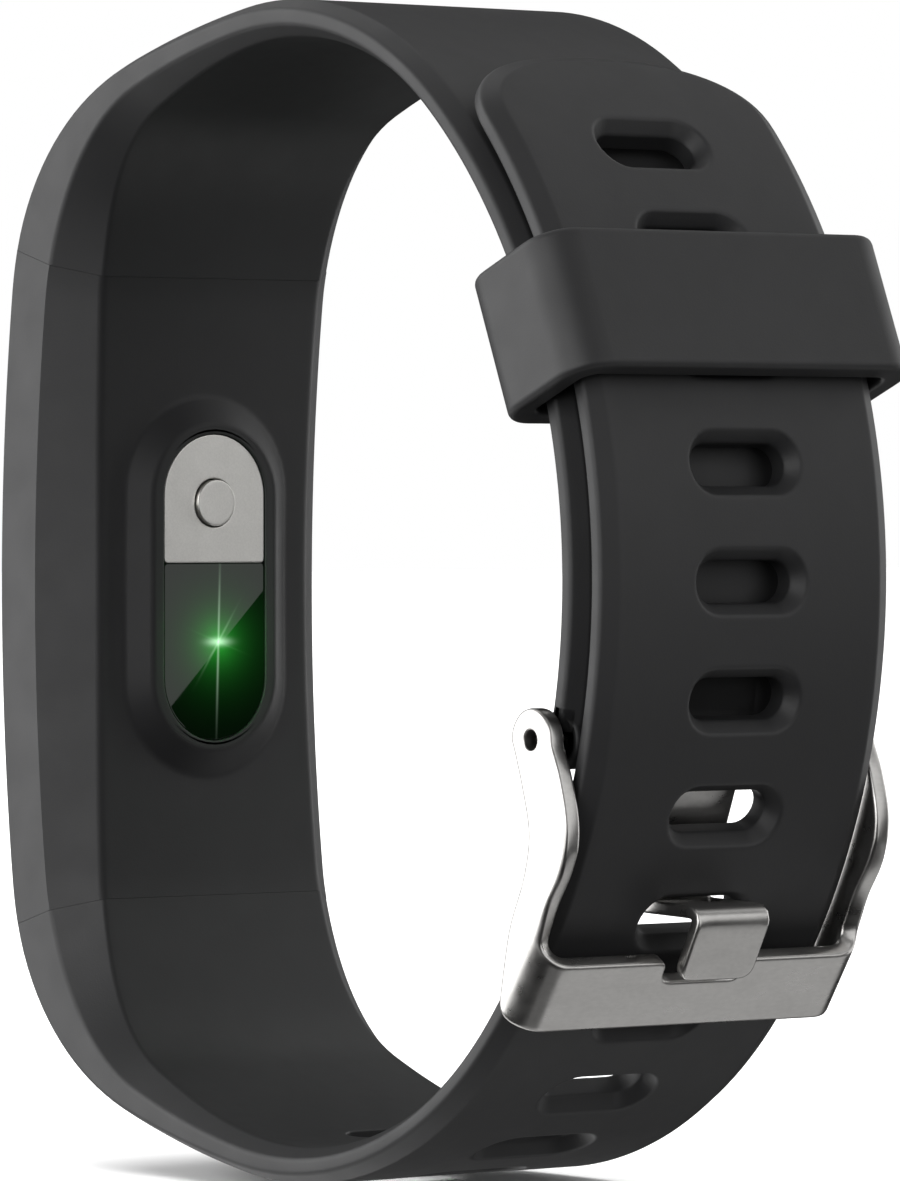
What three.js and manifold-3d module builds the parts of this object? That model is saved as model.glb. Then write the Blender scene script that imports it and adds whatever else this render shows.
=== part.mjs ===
// Fitness tracker band, fastened: a curved sensor pod, two rubber straps, a keeper and a pin buckle.
// Millimetres. +Z up, X through the pod (display towards -X, buckle towards +X), Y across the band.
// The origin is the centre of the wrist opening.

import * as THREE from 'three';
import { mergeVertices } from 'three/addons/utils/BufferGeometryUtils.js';
import Module from 'manifold-3d';

const wasm = await Module();
wasm.setup();

// ---------------------------------------------------------------- driving dimensions

const BAND_HALF = 10; // half the width of the pod and of both straps
const POD_X = -28.05; // middle of the pod's side face at mid height
const LEAD_ARCS = [[17, 132], [16.6, 14.8], [10.4, 66]]; // [length, radius] from the pod's middle outwards
const OVERLAP = { x: -11.15, z: 0.8 }; // centre of the arcs on which the straps overlap
const UPPER_RADIUS = 34;
const TAIL_RADIUS = 36.5;
const POD_END = 19.1; // arc length from the pod's middle to its end face
const STRAP_START = 19.3;
const TAIL_TIP_ANGLE = 50.5; // where the tail ends, in degrees about OVERLAP
const UPPER_END_ANGLE = -13.4;

// [arc length, side face, inner chamfer depth, inner chamfer width, outer chamfer depth, outer chamfer width]
const SECTION_LAW = [
  [0, 3.5, 2.85, 2.6, 0.4, 0.8],
  [19.2, 3.5, 2.4, 2.2, 0.4, 0.8],
  [33.6, 1.4, 1.2, 1.5, 0.5, 0.9],
  [44, 0.95, 0.7, 1.1, 0.57, 1],
  [64, 0.75, 0.55, 1, 0.55, 1],
  [200, 0.75, 0.55, 1, 0.55, 1],
];

const HOLE_PITCH = 6.25;
const HOLE_COUNT = 13;
const HOLE_BELOW = 5; // how many of them come before the tongue's hole
const HOLE_HALF_LONG = 3.3;
const HOLE_HALF_SHORT = 1.15;
const HOLE_FLARE = 0.6;
const FLARE_DEPTH = 0.7;
const TONGUE_HOLE_ANGLE = -29.6;

const PIVOT = polar(33.7, -14.5); // axis of the spring bar
const LUG_RADIUS = 1.6;
const LUG_HALF = 9.4;
const LUG_BORE = 0.85;
const SLOT_HALF = 2.8;

const BAR_TUBE_RADIUS = 0.75;
const BAR_TUBE_BORE = 0.6;
const BAR_LIP_BORE = 0.5;
const BAR_HALF = 9.7;
const BAR_LIP = 0.5;
const TIP_RADIUS = 0.45;
const TIP_END = 10.75;
const TIP_COLLAR_RADIUS = 0.54;
const TIP_COLLAR = [8.3, 9.1];
const SPRING_RADIUS = 0.4;
const SPRING_WIRE = 0.07;
const SPRING_TURNS = 9;
const SPRING_SPAN = [0.4, 8.1];

const FRAME_INNER = 10.3;
const FRAME_OUTER = 11.3;
const EAR_RADIUS = 1.7;
const EAR_HOLE = 0.55;
const BAR_TILT = 33; // the front bar leans this far from upright, in degrees
const BAR_CORNER = { x: 22.6, z: -19.7 }; // top outer corner of the front bar
const BAR_HEIGHT = 4.3;
const BAR_THICK = 1;
const CORNER_RADIUS = 1.9;
const NOTCH_HALF = 2.7;
const NOTCH_DEPTH = 1.3;
const TOE_REACH = 1.95; // how far the arm's foot runs back from the bar
// the arm's two edges, measured from the spring bar
const ARM_FRONT = [[2.5, -2.1], [3.05, -4.6], [2.6, -7], [1.4, -8.9], [0.7, -10.6]];
const ARM_BACK = [[-2.45, -12.4], [-1.85, -9.9], [-0.7, -7.3], [-0.25, -5], [-0.8, -2.6], [-1.7, 0]];

const TONGUE_HALF = 2.5;
const TONGUE_THICK = 0.75;
const TONGUE_EYE = 1.55;
const TONGUE_BENDS = [[19.2, -16.75], [24.8, -16.95], [22.9, -20.55]];

const KEEPER_ANGLE = 22.6;
const KEEPER_LENGTH = 8;
const KEEPER_RADII = [31.0, 32.5, 37.75, 39.25]; // wrist face, inner wall, inner wall, outer face
const KEEPER_HALF = [10.4, 11.9];

const LENS = { half: 8.7, end: 17.4, under: 0.35, edge: 0.5, shoulder: 1.0, crown: 1.25 };
const CAVITY = { front: -27.7, half: 8.8, end: 17 };
const POCKET = { back: -24.35, half: 7.3, end: 16.6 };
const PARTING_GAP = 0.05;
const SEAL = { outer: [9, 18.2], inner: [8.2, 17.4], depth: 0.45, gap: 0.12 };

const ISLAND = { half: [5.8, 4.45, 4.25], long: [11.5, 9.95, 9.75], x: [-23.4, -22.4, -22.3] };
const WINDOW = { half: 3.65, long: 8.95, floor: -23.2, throughHalf: 3, throughLong: 8.2 };
const GLASS = { half: 3.55, long: 8.85, back: -23.1, front: -22.4, split: 1.35, gap: 0.1 };
const DISC = { z: 4.9, radius: 1.35, hole: 1.45, front: -22.15 };
const LED_Z = -3.2;
const PHOTODIODE_Z = -6.1;

const TENON = { half: 5.4, top: -1.95, bottom: -3.6, length: 7 };
const SOCKET_GAP = 0.3;
const CONTACT = { y: 2.6, half: 0.8, length: 5, depth: 0.35, gap: 0.15 };

const MOTOR = { z: -12.2, radius: 3.9, wall: 0.3, base: [-26.5, -26.1], cup: [-26.05, -24.5] };
const WEIGHT = { radius: 3.2, bore: 0.45, hub: 0.9, x: [-25.9, -25.1] };
const SHAFT_RADIUS = 0.35;

// ---------------------------------------------------------------- finishes

const FINISH = {
  rubber: { color: 0x2c2c2d, roughness: 0.62, metalness: 0 },
  casing: { color: 0x2a2a2b, roughness: 0.55, metalness: 0 },
  steel: { color: 0xa6a5a2, roughness: 0.32, metalness: 1 },
  plate: { color: 0xaaa9a6, roughness: 0.38, metalness: 1 },
  glass: { color: 0x08090a, roughness: 0.06, metalness: 0 },
  led: { color: 0x35e06a, roughness: 0.3, metalness: 0 },
  board: { color: 0x1d5a34, roughness: 0.5, metalness: 0 },
  chip: { color: 0x17181a, roughness: 0.45, metalness: 0 },
  cell: { color: 0xb9bcc0, roughness: 0.35, metalness: 0.6 },
  gold: { color: 0xd9b25a, roughness: 0.25, metalness: 1 },
  seal: { color: 0x3b3d40, roughness: 0.7, metalness: 0 },
};

// ---------------------------------------------------------------- plane helpers

function radians(degrees) {
  return (degrees * Math.PI) / 180;
}

function polar(radius, degrees) {
  const angle = radians(degrees);
  return { x: OVERLAP.x + radius * Math.cos(angle), z: OVERLAP.z + radius * Math.sin(angle) };
}

function lerpLaw(s) {
  const next = SECTION_LAW.findIndex((row) => row[0] >= Math.abs(s));
  const b = SECTION_LAW[Math.max(next, 1)];
  const a = SECTION_LAW[Math.max(next, 1) - 1];
  const t = (Math.abs(s) - a[0]) / (b[0] - a[0]);
  const row = b.map((value, i) => a[i] + (value - a[i]) * t);
  const [, side, innerDepth, innerWidth, outerDepth, outerWidth] = row;
  return { side, innerDepth, innerWidth, outerDepth, outerWidth };
}

// A stadium outline, long axis first.
function stadium(halfLong, halfShort, steps = 6) {
  const points = [];
  for (const side of [1, -1]) {
    for (let i = 0; i <= steps; i += 1) {
      const angle = -Math.PI / 2 + (i / steps) * Math.PI;
      const along = halfLong - halfShort + halfShort * Math.cos(angle);
      points.push([side * along, side * halfShort * Math.sin(angle)]);
    }
  }
  return points;
}

function roundedRect(halfA, halfB, radius) {
  const shape = new THREE.Shape();
  shape.moveTo(-halfA + radius, -halfB);
  shape.lineTo(halfA - radius, -halfB);
  shape.absarc(halfA - radius, -halfB + radius, radius, -Math.PI / 2, 0);
  shape.absarc(halfA - radius, halfB - radius, radius, 0, Math.PI / 2);
  shape.absarc(-halfA + radius, halfB - radius, radius, Math.PI / 2, Math.PI);
  shape.absarc(-halfA + radius, -halfB + radius, radius, Math.PI, 1.5 * Math.PI);
  return shape;
}

// Replaces each inner corner of an open line by a short curve that starts and ends `cut` away from it.
function softenCorners(points, cut, steps = 5) {
  const line = [points[0]];
  for (let i = 1; i < points.length - 1; i += 1) {
    const corner = points[i];
    const before = corner.clone().add(points[i - 1].clone().sub(corner).setLength(cut));
    const after = corner.clone().add(points[i + 1].clone().sub(corner).setLength(cut));
    line.push(...new THREE.QuadraticBezierCurve(before, corner, after).getPoints(steps));
  }
  line.push(points[points.length - 1]);
  return line;
}

// ---------------------------------------------------------------- the band's path

// A chain of arcs in the X-Z plane that leaves the pod upwards and bends over the wrist. sign -1 mirrors it
// downwards. The last arc lies on the overlap circle; the one before it joins that circle smoothly.
class BandPath {
  constructor(sign, overlapRadius) {
    this.sign = sign;
    this.centre = { x: OVERLAP.x, z: sign * OVERLAP.z };
    this.overlapRadius = overlapRadius;
    this.arcs = [];
    this.total = 0;
    this.tip = { x: POD_X, z: 0, heading: Math.PI / 2 };
    for (const [length, radius] of LEAD_ARCS) this.push(length, radius);
    this.pushBlend();
    this.overlapStart = this.total;
    this.overlapStartAngle = Math.atan2(this.tip.z - this.centre.z, this.tip.x - this.centre.x);
    this.push(2 * Math.PI * overlapRadius, overlapRadius);
  }

  push(length, radius) {
    const { x, z, heading } = this.tip;
    const cx = x + radius * Math.sin(heading);
    const cz = z - radius * Math.cos(heading);
    this.arcs.push({ start: this.total, length, radius, heading, cx, cz });
    this.total += length;
    const turned = heading - length / radius;
    this.tip = { x: cx - radius * Math.sin(turned), z: cz + radius * Math.cos(turned), heading: turned };
  }

  pushBlend() {
    const { x, z, heading } = this.tip;
    const inward = { x: Math.sin(heading), z: -Math.cos(heading) };
    const away = { x: x - this.centre.x, z: z - this.centre.z };
    const along = inward.x * away.x + inward.z * away.z;
    const big = this.overlapRadius;
    const radius = (big ** 2 - away.x ** 2 - away.z ** 2) / (2 * (along + big));
    const hub = { x: away.x + radius * inward.x, z: away.z + radius * inward.z };
    const finalHeading = Math.atan2(hub.z, hub.x) - Math.PI / 2;
    this.push((heading - finalHeading) * radius, radius);
  }

  // The point, the outward normal and the direction of travel at arc length s.
  at(s) {
    const arc = this.arcs.filter((item) => item.start <= s).pop();
    const heading = arc.heading - (s - arc.start) / arc.radius;
    return {
      x: arc.cx - arc.radius * Math.sin(heading),
      z: this.sign * (arc.cz + arc.radius * Math.cos(heading)),
      nx: -Math.sin(heading),
      nz: this.sign * Math.cos(heading),
      tx: Math.cos(heading),
      tz: this.sign * Math.sin(heading),
    };
  }

  // Arc length at an angle about OVERLAP, in degrees.
  lengthAt(degrees) {
    return this.overlapStart + (this.overlapStartAngle - this.sign * radians(degrees)) * this.overlapRadius;
  }

  // Arc lengths between two ends, closer together where the band bends more.
  stations(from, to, turn = radians(9)) {
    const list = [from];
    for (const arc of this.arcs) {
      const a = Math.max(arc.start, from);
      const b = Math.min(arc.start + arc.length, to);
      const count = Math.max(1, Math.ceil((b - a) / arc.radius / turn));
      for (let i = 1; i <= count && b > a; i += 1) list.push(a + ((b - a) * i) / count);
    }
    return list;
  }
}

const upperPath = new BandPath(1, UPPER_RADIUS);
const lowerPath = new BandPath(-1, TAIL_RADIUS);

// The pod lies on both paths: positive lengths go up, negative ones down.
const podPath = {
  at: (s) => {
    const frame = (s < 0 ? lowerPath : upperPath).at(Math.abs(s));
    return s < 0 ? { ...frame, tx: -frame.tx, tz: -frame.tz } : frame;
  },
  stations: (end) => {
    const half = upperPath.stations(0, end, radians(2.6));
    return [...half.slice(1).reverse().map((s) => -s), ...half];
  },
};

function place(frame, y, n, along = 0) {
  const x = frame.x + n * frame.nx + along * frame.tx;
  const z = frame.z + n * frame.nz + along * frame.tz;
  return new THREE.Vector3(x, y, z);
}

// ---------------------------------------------------------------- solid helpers

function closedGeometry(vertices, triangles) {
  const geometry = new THREE.BufferGeometry();
  const positions = vertices.flatMap((v) => v.toArray());
  geometry.setAttribute('position', new THREE.Float32BufferAttribute(positions, 3));
  let volume = 0;
  for (const [a, b, c] of triangles) {
    volume += vertices[a].dot(new THREE.Vector3().crossVectors(vertices[b], vertices[c]));
  }
  geometry.setIndex(triangles.flatMap(([a, b, c]) => (volume > 0 ? [a, b, c] : [a, c, b])));
  return geometry;
}

// Joins convex rings of equal size, in order, into one closed body.
function loft(rings) {
  const size = rings[0].length;
  const triangles = [];
  for (let r = 0; r + 1 < rings.length; r += 1) {
    for (let i = 0; i < size; i += 1) {
      const a = r * size + i;
      const b = r * size + ((i + 1) % size);
      triangles.push([a, b, a + size], [b, b + size, a + size]);
    }
  }
  const last = (rings.length - 1) * size;
  for (let i = 1; i + 1 < size; i += 1) {
    triangles.push([0, i + 1, i], [last, last + i, last + i + 1]);
  }
  return closedGeometry(rings.flat(), triangles);
}

function solid(geometry) {
  const bare = geometry.clone();
  for (const name of Object.keys(bare.attributes)) {
    if (name !== 'position') bare.deleteAttribute(name);
  }
  const merged = mergeVertices(bare, 1e-5);
  const vertProperties = new Float32Array(merged.attributes.position.array);
  const triVerts = new Uint32Array(merged.index.array);
  return new wasm.Manifold(new wasm.Mesh({ numProp: 3, vertProperties, triVerts }));
}

function geometryOf(body) {
  const mesh = body.getMesh();
  const geometry = new THREE.BufferGeometry();
  geometry.setAttribute('position', new THREE.BufferAttribute(new Float32Array(mesh.vertProperties), 3));
  geometry.setIndex(Array.from(mesh.triVerts));
  return geometry;
}

function cut(body, ...tools) {
  return tools.reduce((rest, tool) => rest.subtract(tool), body);
}

function box(x, y, z) {
  const geometry = new THREE.BoxGeometry(x[1] - x[0], y[1] - y[0], z[1] - z[0]);
  geometry.translate((x[0] + x[1]) / 2, (y[0] + y[1]) / 2, (z[0] + z[1]) / 2);
  return geometry;
}

function cylinderY(centre, radius, y, sides = 20) {
  const geometry = new THREE.CylinderGeometry(radius, radius, y[1] - y[0], sides);
  return geometry.translate(centre.x, (y[0] + y[1]) / 2, centre.z);
}

function cylinderX(z, radius, x, sides = 24) {
  const geometry = new THREE.CylinderGeometry(radius, radius, x[1] - x[0], sides);
  return geometry.rotateZ(Math.PI / 2).translate((x[0] + x[1]) / 2, 0, z);
}

// Extrudes an outline drawn in X-Z across Y.
function extrudeY(shape, y, curveSegments = 6) {
  const options = { depth: y[1] - y[0], bevelEnabled: false, curveSegments };
  return new THREE.ExtrudeGeometry(shape, options).rotateX(Math.PI / 2).translate(0, y[1], 0);
}

function stadiumRingX(half, long, x, z = 0) {
  return stadium(long, half, 9).map(([a, b]) => new THREE.Vector3(x, b, z + a));
}

function stadiumPlate(half, long, x) {
  return loft(x.map((value) => stadiumRingX(half, long, value)));
}

// A bar of convex section that follows the band; outline(s) gives its [y, n] corners.
function band(path, stations, outline) {
  return loft(stations.map((s) => outline(s).map(([y, n]) => place(path.at(s), y, n))));
}

function strapOutline(s) {
  const law = lerpLaw(s);
  const top = law.side / 2;
  return [
    [-BAND_HALF, -top],
    [-BAND_HALF, top],
    [-BAND_HALF + law.outerWidth, top + law.outerDepth],
    [BAND_HALF - law.outerWidth, top + law.outerDepth],
    [BAND_HALF, top],
    [BAND_HALF, -top],
    [BAND_HALF - law.innerWidth, -top - law.innerDepth],
    [-BAND_HALF + law.innerWidth, -top - law.innerDepth],
  ];
}

// ---------------------------------------------------------------- the pod

function slab(half, end, bottom, top) {
  return band(podPath, podPath.stations(end), (s) => {
    const middle = lerpLaw(s).side / 2;
    const [low, high] = [middle + bottom, middle + top];
    return [[-half, low], [-half, high], [half, high], [half, low]];
  });
}

function frontShell() {
  const outer = band(podPath, podPath.stations(POD_END), (s) => {
    const law = lerpLaw(s);
    const top = law.side / 2;
    const rim = BAND_HALF - law.outerWidth;
    return [
      [-BAND_HALF, -top + PARTING_GAP],
      [-BAND_HALF, top],
      [-rim, top + law.outerDepth],
      [rim, top + law.outerDepth],
      [BAND_HALF, top],
      [BAND_HALF, -top + PARTING_GAP],
    ];
  });
  const lensSeat = slab(LENS.half + 0.2, LENS.end + 0.2, -LENS.under - 0.1, 2);
  const cavity = box([CAVITY.front, -20], [-CAVITY.half, CAVITY.half], [-CAVITY.end, CAVITY.end]);
  const displayWindow = box([-32, -27], [-7.2, 7.2], [-11.8, 15.8]);
  const touchWindow = box([-32, -27], [-3.6, 3.6], [-16.7, -13]);
  return cut(solid(outer), ...[lensSeat, cavity, displayWindow, touchWindow].map(solid));
}

function frontLens() {
  return band(podPath, podPath.stations(LENS.end), (s) => {
    const top = lerpLaw(s).side / 2;
    return [
      [-LENS.half, top - LENS.under],
      [-LENS.half, top + LENS.edge],
      [-LENS.half * 0.7, top + LENS.shoulder],
      [0, top + LENS.crown],
      [LENS.half * 0.7, top + LENS.shoulder],
      [LENS.half, top + LENS.edge],
      [LENS.half, top - LENS.under],
    ];
  });
}

function tenonBox(sign, grow, from, to) {
  const frame = podPath.at(sign * POD_END);
  const outline = [
    [-TENON.half - grow, TENON.bottom - grow],
    [-TENON.half - grow, TENON.top + grow],
    [TENON.half + grow, TENON.top + grow],
    [TENON.half + grow, TENON.bottom - grow],
  ];
  return loft([from, to].map((along) => outline.map(([y, n]) => place(frame, y, n, sign * along))));
}

// A contact strip set into the upper tenon's wrist side, or with a gap around it, the groove it lies in.
function contactBox(side, gap) {
  const frame = podPath.at(POD_END);
  const width = CONTACT.half + gap;
  const low = TENON.bottom + (gap > 0 ? -1 : 0.02);
  const high = TENON.bottom + CONTACT.depth + gap;
  const outline = [[-width, low], [-width, high], [width, high], [width, low]];
  const ends = [1 - gap, 1 + CONTACT.length + gap];
  return loft(ends.map((along) => outline.map(([y, n]) => place(frame, side * CONTACT.y + y, n, along))));
}

// The seal under the parting face, or with a gap around it, the groove it lies in.
function sealRing(gap) {
  const [outer, inner] = [SEAL.outer, SEAL.inner];
  const top = -PARTING_GAP - 0.02 + gap * 2;
  const whole = slabBelow(outer[0] + gap, outer[1] + gap, -SEAL.depth - gap, top);
  return solid(whole).subtract(solid(slabBelow(inner[0] - gap, inner[1] - gap, -3, 3)));
}

// Like slab, but measured from the parting face.
function slabBelow(half, end, bottom, top) {
  return band(podPath, podPath.stations(end), (s) => {
    const parting = -lerpLaw(s).side / 2;
    const [low, high] = [parting + bottom, parting + top];
    return [[-half, low], [-half, high], [half, high], [half, low]];
  });
}

function rearCover() {
  const cover = band(podPath, podPath.stations(POD_END), (s) => {
    const law = lerpLaw(s);
    const parting = -law.side / 2;
    return [
      [-BAND_HALF, parting - PARTING_GAP],
      [BAND_HALF, parting - PARTING_GAP],
      [BAND_HALF - law.innerWidth, parting - law.innerDepth],
      [-BAND_HALF + law.innerWidth, parting - law.innerDepth],
    ];
  });
  const island = loft([
    stadiumRingX(ISLAND.half[0], ISLAND.long[0], -24.2),
    ...ISLAND.x.map((x, i) => stadiumRingX(ISLAND.half[i], ISLAND.long[i], x)),
  ]);
  const tenons = [1, -1].map((sign) => solid(tenonBox(sign, 0, -1.2, TENON.length)));
  const pocket = box([-28, POCKET.back], [-POCKET.half, POCKET.half], [-POCKET.end, POCKET.end]);
  const recess = stadiumPlate(WINDOW.half, WINDOW.long, [WINDOW.floor, -20]);
  const through = stadiumPlate(WINDOW.throughHalf, WINDOW.throughLong, [-25, -22]);
  const whole = solid(cover).add(solid(island)).add(tenons[0]).add(tenons[1]);
  const grooves = [1, -1].map((side) => solid(contactBox(side, CONTACT.gap)));
  return cut(whole, solid(pocket), solid(recess), solid(through), ...grooves, sealRing(SEAL.gap));
}

// ---------------------------------------------------------------- inside the pod

function battery() {
  const shape = roundedRect(6.5, 9, 1.2);
  const geometry = new THREE.ExtrudeGeometry(shape, { depth: 1.95, bevelEnabled: false, curveSegments: 4 });
  const [x, y, z] = [new THREE.Vector3(1, 0, 0), new THREE.Vector3(0, 1, 0), new THREE.Vector3(0, 0, 1)];
  return geometry.applyMatrix4(new THREE.Matrix4().makeBasis(y, z, x).setPosition(-26.5, 0, 1.4));
}

function motorBase() {
  const plate = solid(cylinderX(MOTOR.z, MOTOR.radius, MOTOR.base));
  return plate.add(solid(cylinderX(MOTOR.z, SHAFT_RADIUS, [MOTOR.base[1] - 0.1, WEIGHT.x[1] + 0.15], 12)));
}

function motorCup() {
  const cup = solid(cylinderX(MOTOR.z, MOTOR.radius, MOTOR.cup));
  const hollow = cylinderX(MOTOR.z, MOTOR.radius - MOTOR.wall, [MOTOR.cup[0] - 1, MOTOR.cup[1] - MOTOR.wall]);
  return cup.subtract(solid(hollow));
}

function motorWeight() {
  const disc = solid(cylinderX(MOTOR.z, WEIGHT.radius, WEIGHT.x));
  const upperHalf = solid(box([-27, -24], [-5, 5], [MOTOR.z, MOTOR.z + 5]));
  const hub = solid(cylinderX(MOTOR.z, WEIGHT.hub, WEIGHT.x, 16));
  return disc.subtract(upperHalf).add(hub).subtract(solid(cylinderX(MOTOR.z, WEIGHT.bore, [-27, -24], 12)));
}

// ---------------------------------------------------------------- the sensor window

function windowPiece(z) {
  const plate = solid(stadiumPlate(GLASS.half, GLASS.long, [GLASS.back, GLASS.front]));
  return plate.intersect(solid(box([-25, -20], [-5, 5], z)));
}

function electrodePlate() {
  const plate = windowPiece([GLASS.split + GLASS.gap, 12]);
  return plate.subtract(solid(cylinderX(DISC.z, DISC.hole, [-25, -20])));
}

// ---------------------------------------------------------------- the straps

function holeCutter(s) {
  const frame = lowerPath.at(s);
  const law = lerpLaw(s);
  const face = law.side / 2 + law.outerDepth;
  const ring = (grow, n) =>
    stadium(HOLE_HALF_LONG + grow, HOLE_HALF_SHORT + grow, 5).map(([y, along]) => place(frame, y, n, along));
  const above = 0.6;
  const mouth = HOLE_FLARE * (1 + above / FLARE_DEPTH);
  return loft([ring(0, -face - 1), ring(0, face - FLARE_DEPTH), ring(mouth, face + above)]);
}

function upperStrap() {
  const end = upperPath.lengthAt(UPPER_END_ANGLE);
  const body = solid(band(upperPath, upperPath.stations(STRAP_START, end), strapOutline));
  const lug = solid(cylinderY(PIVOT, LUG_RADIUS, [-LUG_HALF, LUG_HALF], 24));
  const bore = solid(cylinderY(PIVOT, LUG_BORE, [-12, 12], 20));
  const slotX = [PIVOT.x - 3, PIVOT.x + 3];
  const slot = solid(box(slotX, [-SLOT_HALF, SLOT_HALF], [PIVOT.z - 3, PIVOT.z + 2]));
  const shoulders = [1, -1].map((side) => {
    const y = [side * LUG_HALF, side * 12].sort((a, b) => a - b);
    return solid(box(slotX, y, [PIVOT.z - 3, PIVOT.z + 1.3]));
  });
  const socket = solid(tenonBox(1, SOCKET_GAP, -1, TENON.length + SOCKET_GAP));
  return cut(body.add(lug), bore, slot, ...shoulders, socket);
}

// The tail's end is rounded in plan: everything outside a rounded outline is taken off.
function tipTrim(end) {
  const frame = lowerPath.at(end - 6);
  const outline = [[-14, -1]];
  const steps = 8;
  for (let i = 0; i <= steps; i += 1) {
    const angle = Math.PI - (i / steps) * Math.PI;
    outline.push([BAND_HALF * 1.02 * Math.cos(angle), 1.2 + 4.7 * Math.sin(angle) ** 0.62]);
  }
  outline.push([14, -1], [14, 14], [-14, 14]);
  const shape = new THREE.Shape(outline.map(([y, along]) => new THREE.Vector2(y, along)));
  const geometry = new THREE.ExtrudeGeometry(shape, { depth: 12, bevelEnabled: false });
  const basis = new THREE.Matrix4().makeBasis(
    new THREE.Vector3(0, 1, 0),
    new THREE.Vector3(frame.tx, 0, frame.tz),
    new THREE.Vector3(frame.nx, 0, frame.nz),
  );
  return geometry.applyMatrix4(basis.setPosition(place(frame, 0, -6)));
}

function lowerStrap() {
  const end = lowerPath.lengthAt(TAIL_TIP_ANGLE);
  const body = solid(band(lowerPath, lowerPath.stations(STRAP_START, end, radians(8)), strapOutline));
  const first = lowerPath.lengthAt(TONGUE_HOLE_ANGLE) - HOLE_BELOW * HOLE_PITCH;
  const holes = Array.from({ length: HOLE_COUNT }, (_, i) => solid(holeCutter(first + i * HOLE_PITCH)));
  const socket = solid(tenonBox(-1, SOCKET_GAP, -1, TENON.length + SOCKET_GAP));
  return cut(body, socket, solid(tipTrim(end)), ...holes);
}

// ---------------------------------------------------------------- keeper and buckle

// Drawn with the overlap arc's radius along X; the group below turns it into place.
function keeper() {
  const [wrist, inner, outer, face] = KEEPER_RADII;
  const ring = (low, high, half, radius) => {
    const shape = roundedRect((high - low) / 2, half, radius);
    const options = { depth: KEEPER_LENGTH, bevelEnabled: false, curveSegments: 6 };
    return new THREE.ExtrudeGeometry(shape, options).translate((low + high) / 2, 0, -KEEPER_LENGTH / 2);
  };
  const hollow = ring(inner, outer, KEEPER_HALF[0], 0.9).scale(1, 1, 1.2);
  return solid(ring(wrist, face, KEEPER_HALF[1], 2.3)).subtract(solid(hollow));
}

const barDown = new THREE.Vector2(-Math.sin(radians(BAR_TILT)), -Math.cos(radians(BAR_TILT)));
const barOut = new THREE.Vector2(Math.cos(radians(BAR_TILT)), -Math.sin(radians(BAR_TILT)));
const barCorner = new THREE.Vector2(BAR_CORNER.x, BAR_CORNER.z);
const pivot2 = new THREE.Vector2(PIVOT.x, PIVOT.z);

function barPoint(down, inward) {
  return barCorner.clone().addScaledVector(barDown, down).addScaledVector(barOut, -inward);
}

function fromPivot(list) {
  return list.map(([x, z]) => pivot2.clone().add(new THREE.Vector2(x, z)));
}

// The arm seen from the side: a round ear, an S-shaped limb and the foot that carries the bar.
function armShape() {
  const shape = new THREE.Shape();
  shape.moveTo(PIVOT.x - EAR_RADIUS, PIVOT.z);
  shape.absarc(PIVOT.x, PIVOT.z, EAR_RADIUS, Math.PI, 0, true);
  shape.splineThru([...fromPivot(ARM_FRONT), barCorner]);
  const heel = barPoint(BAR_HEIGHT, 0);
  const toe = barPoint(BAR_HEIGHT, TOE_REACH);
  shape.lineTo(heel.x, heel.y);
  shape.lineTo(toe.x, toe.y);
  shape.splineThru(fromPivot(ARM_BACK));
  return shape;
}

function barBlock(down, inward, y) {
  const [top, bottom] = down;
  const [front, back] = inward;
  const corners = [[top, front], [bottom, front], [bottom, back], [top, back]];
  return solid(extrudeY(new THREE.Shape(corners.map(([a, b]) => barPoint(a, b))), y));
}

// What is taken off one vertical corner of the bar to round it.
function cornerTrim(side) {
  const ring = (down) => {
    const points = [];
    const steps = 5;
    for (let i = 0; i <= steps; i += 1) {
      const angle = (i / steps) * (Math.PI / 2);
      const inward = CORNER_RADIUS * (1 - Math.cos(angle));
      points.push([inward, FRAME_OUTER - CORNER_RADIUS * (1 - Math.sin(angle))]);
    }
    points.push([-3, FRAME_OUTER + 3]);
    return points.map(([inward, y]) => {
      const p = barPoint(down, inward);
      return new THREE.Vector3(p.x, side * y, p.y);
    });
  };
  return solid(loft([ring(-2), ring(BAR_HEIGHT + 2)]));
}

function buckleFrame() {
  const armSpans = [[-FRAME_OUTER, -FRAME_INNER], [FRAME_INNER, FRAME_OUTER]];
  const arms = armSpans.map((y) => solid(extrudeY(armShape(), y)));
  const bar = barBlock([0, BAR_HEIGHT], [0, BAR_THICK], [-FRAME_OUTER, FRAME_OUTER]);
  const fillets = [1, -1].map((side) => {
    const y = [side * (FRAME_INNER - 0.02), side * (FRAME_INNER + 0.1)].sort((a, b) => a - b);
    return barBlock([0, BAR_HEIGHT], [0, BAR_THICK + 0.3], y);
  });
  const notch = barBlock([-2, NOTCH_DEPTH], [-1, 3], [-NOTCH_HALF, NOTCH_HALF]);
  const pinHole = solid(cylinderY(PIVOT, EAR_HOLE, [-12, 12], 20));
  const whole = arms[0].add(arms[1]).add(bar).add(fillets[0]).add(fillets[1]);
  return cut(whole, notch, pinHole, cornerTrim(1), cornerTrim(-1));
}

// The tongue's middle line: down from its eye, out through the tail's hole and down to the bar's notch.
function tongueLine() {
  const [first] = TONGUE_BENDS;
  const reach = (TONGUE_EYE + LUG_BORE) / 2;
  const lean = Math.atan2(first[0] - PIVOT.x - reach, PIVOT.z - first[1]);
  const start = new THREE.Vector2(PIVOT.x + reach * Math.cos(lean), PIVOT.z + reach * Math.sin(lean));
  return softenCorners([start, ...TONGUE_BENDS.map(([x, z]) => new THREE.Vector2(x, z))], 1);
}

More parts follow.
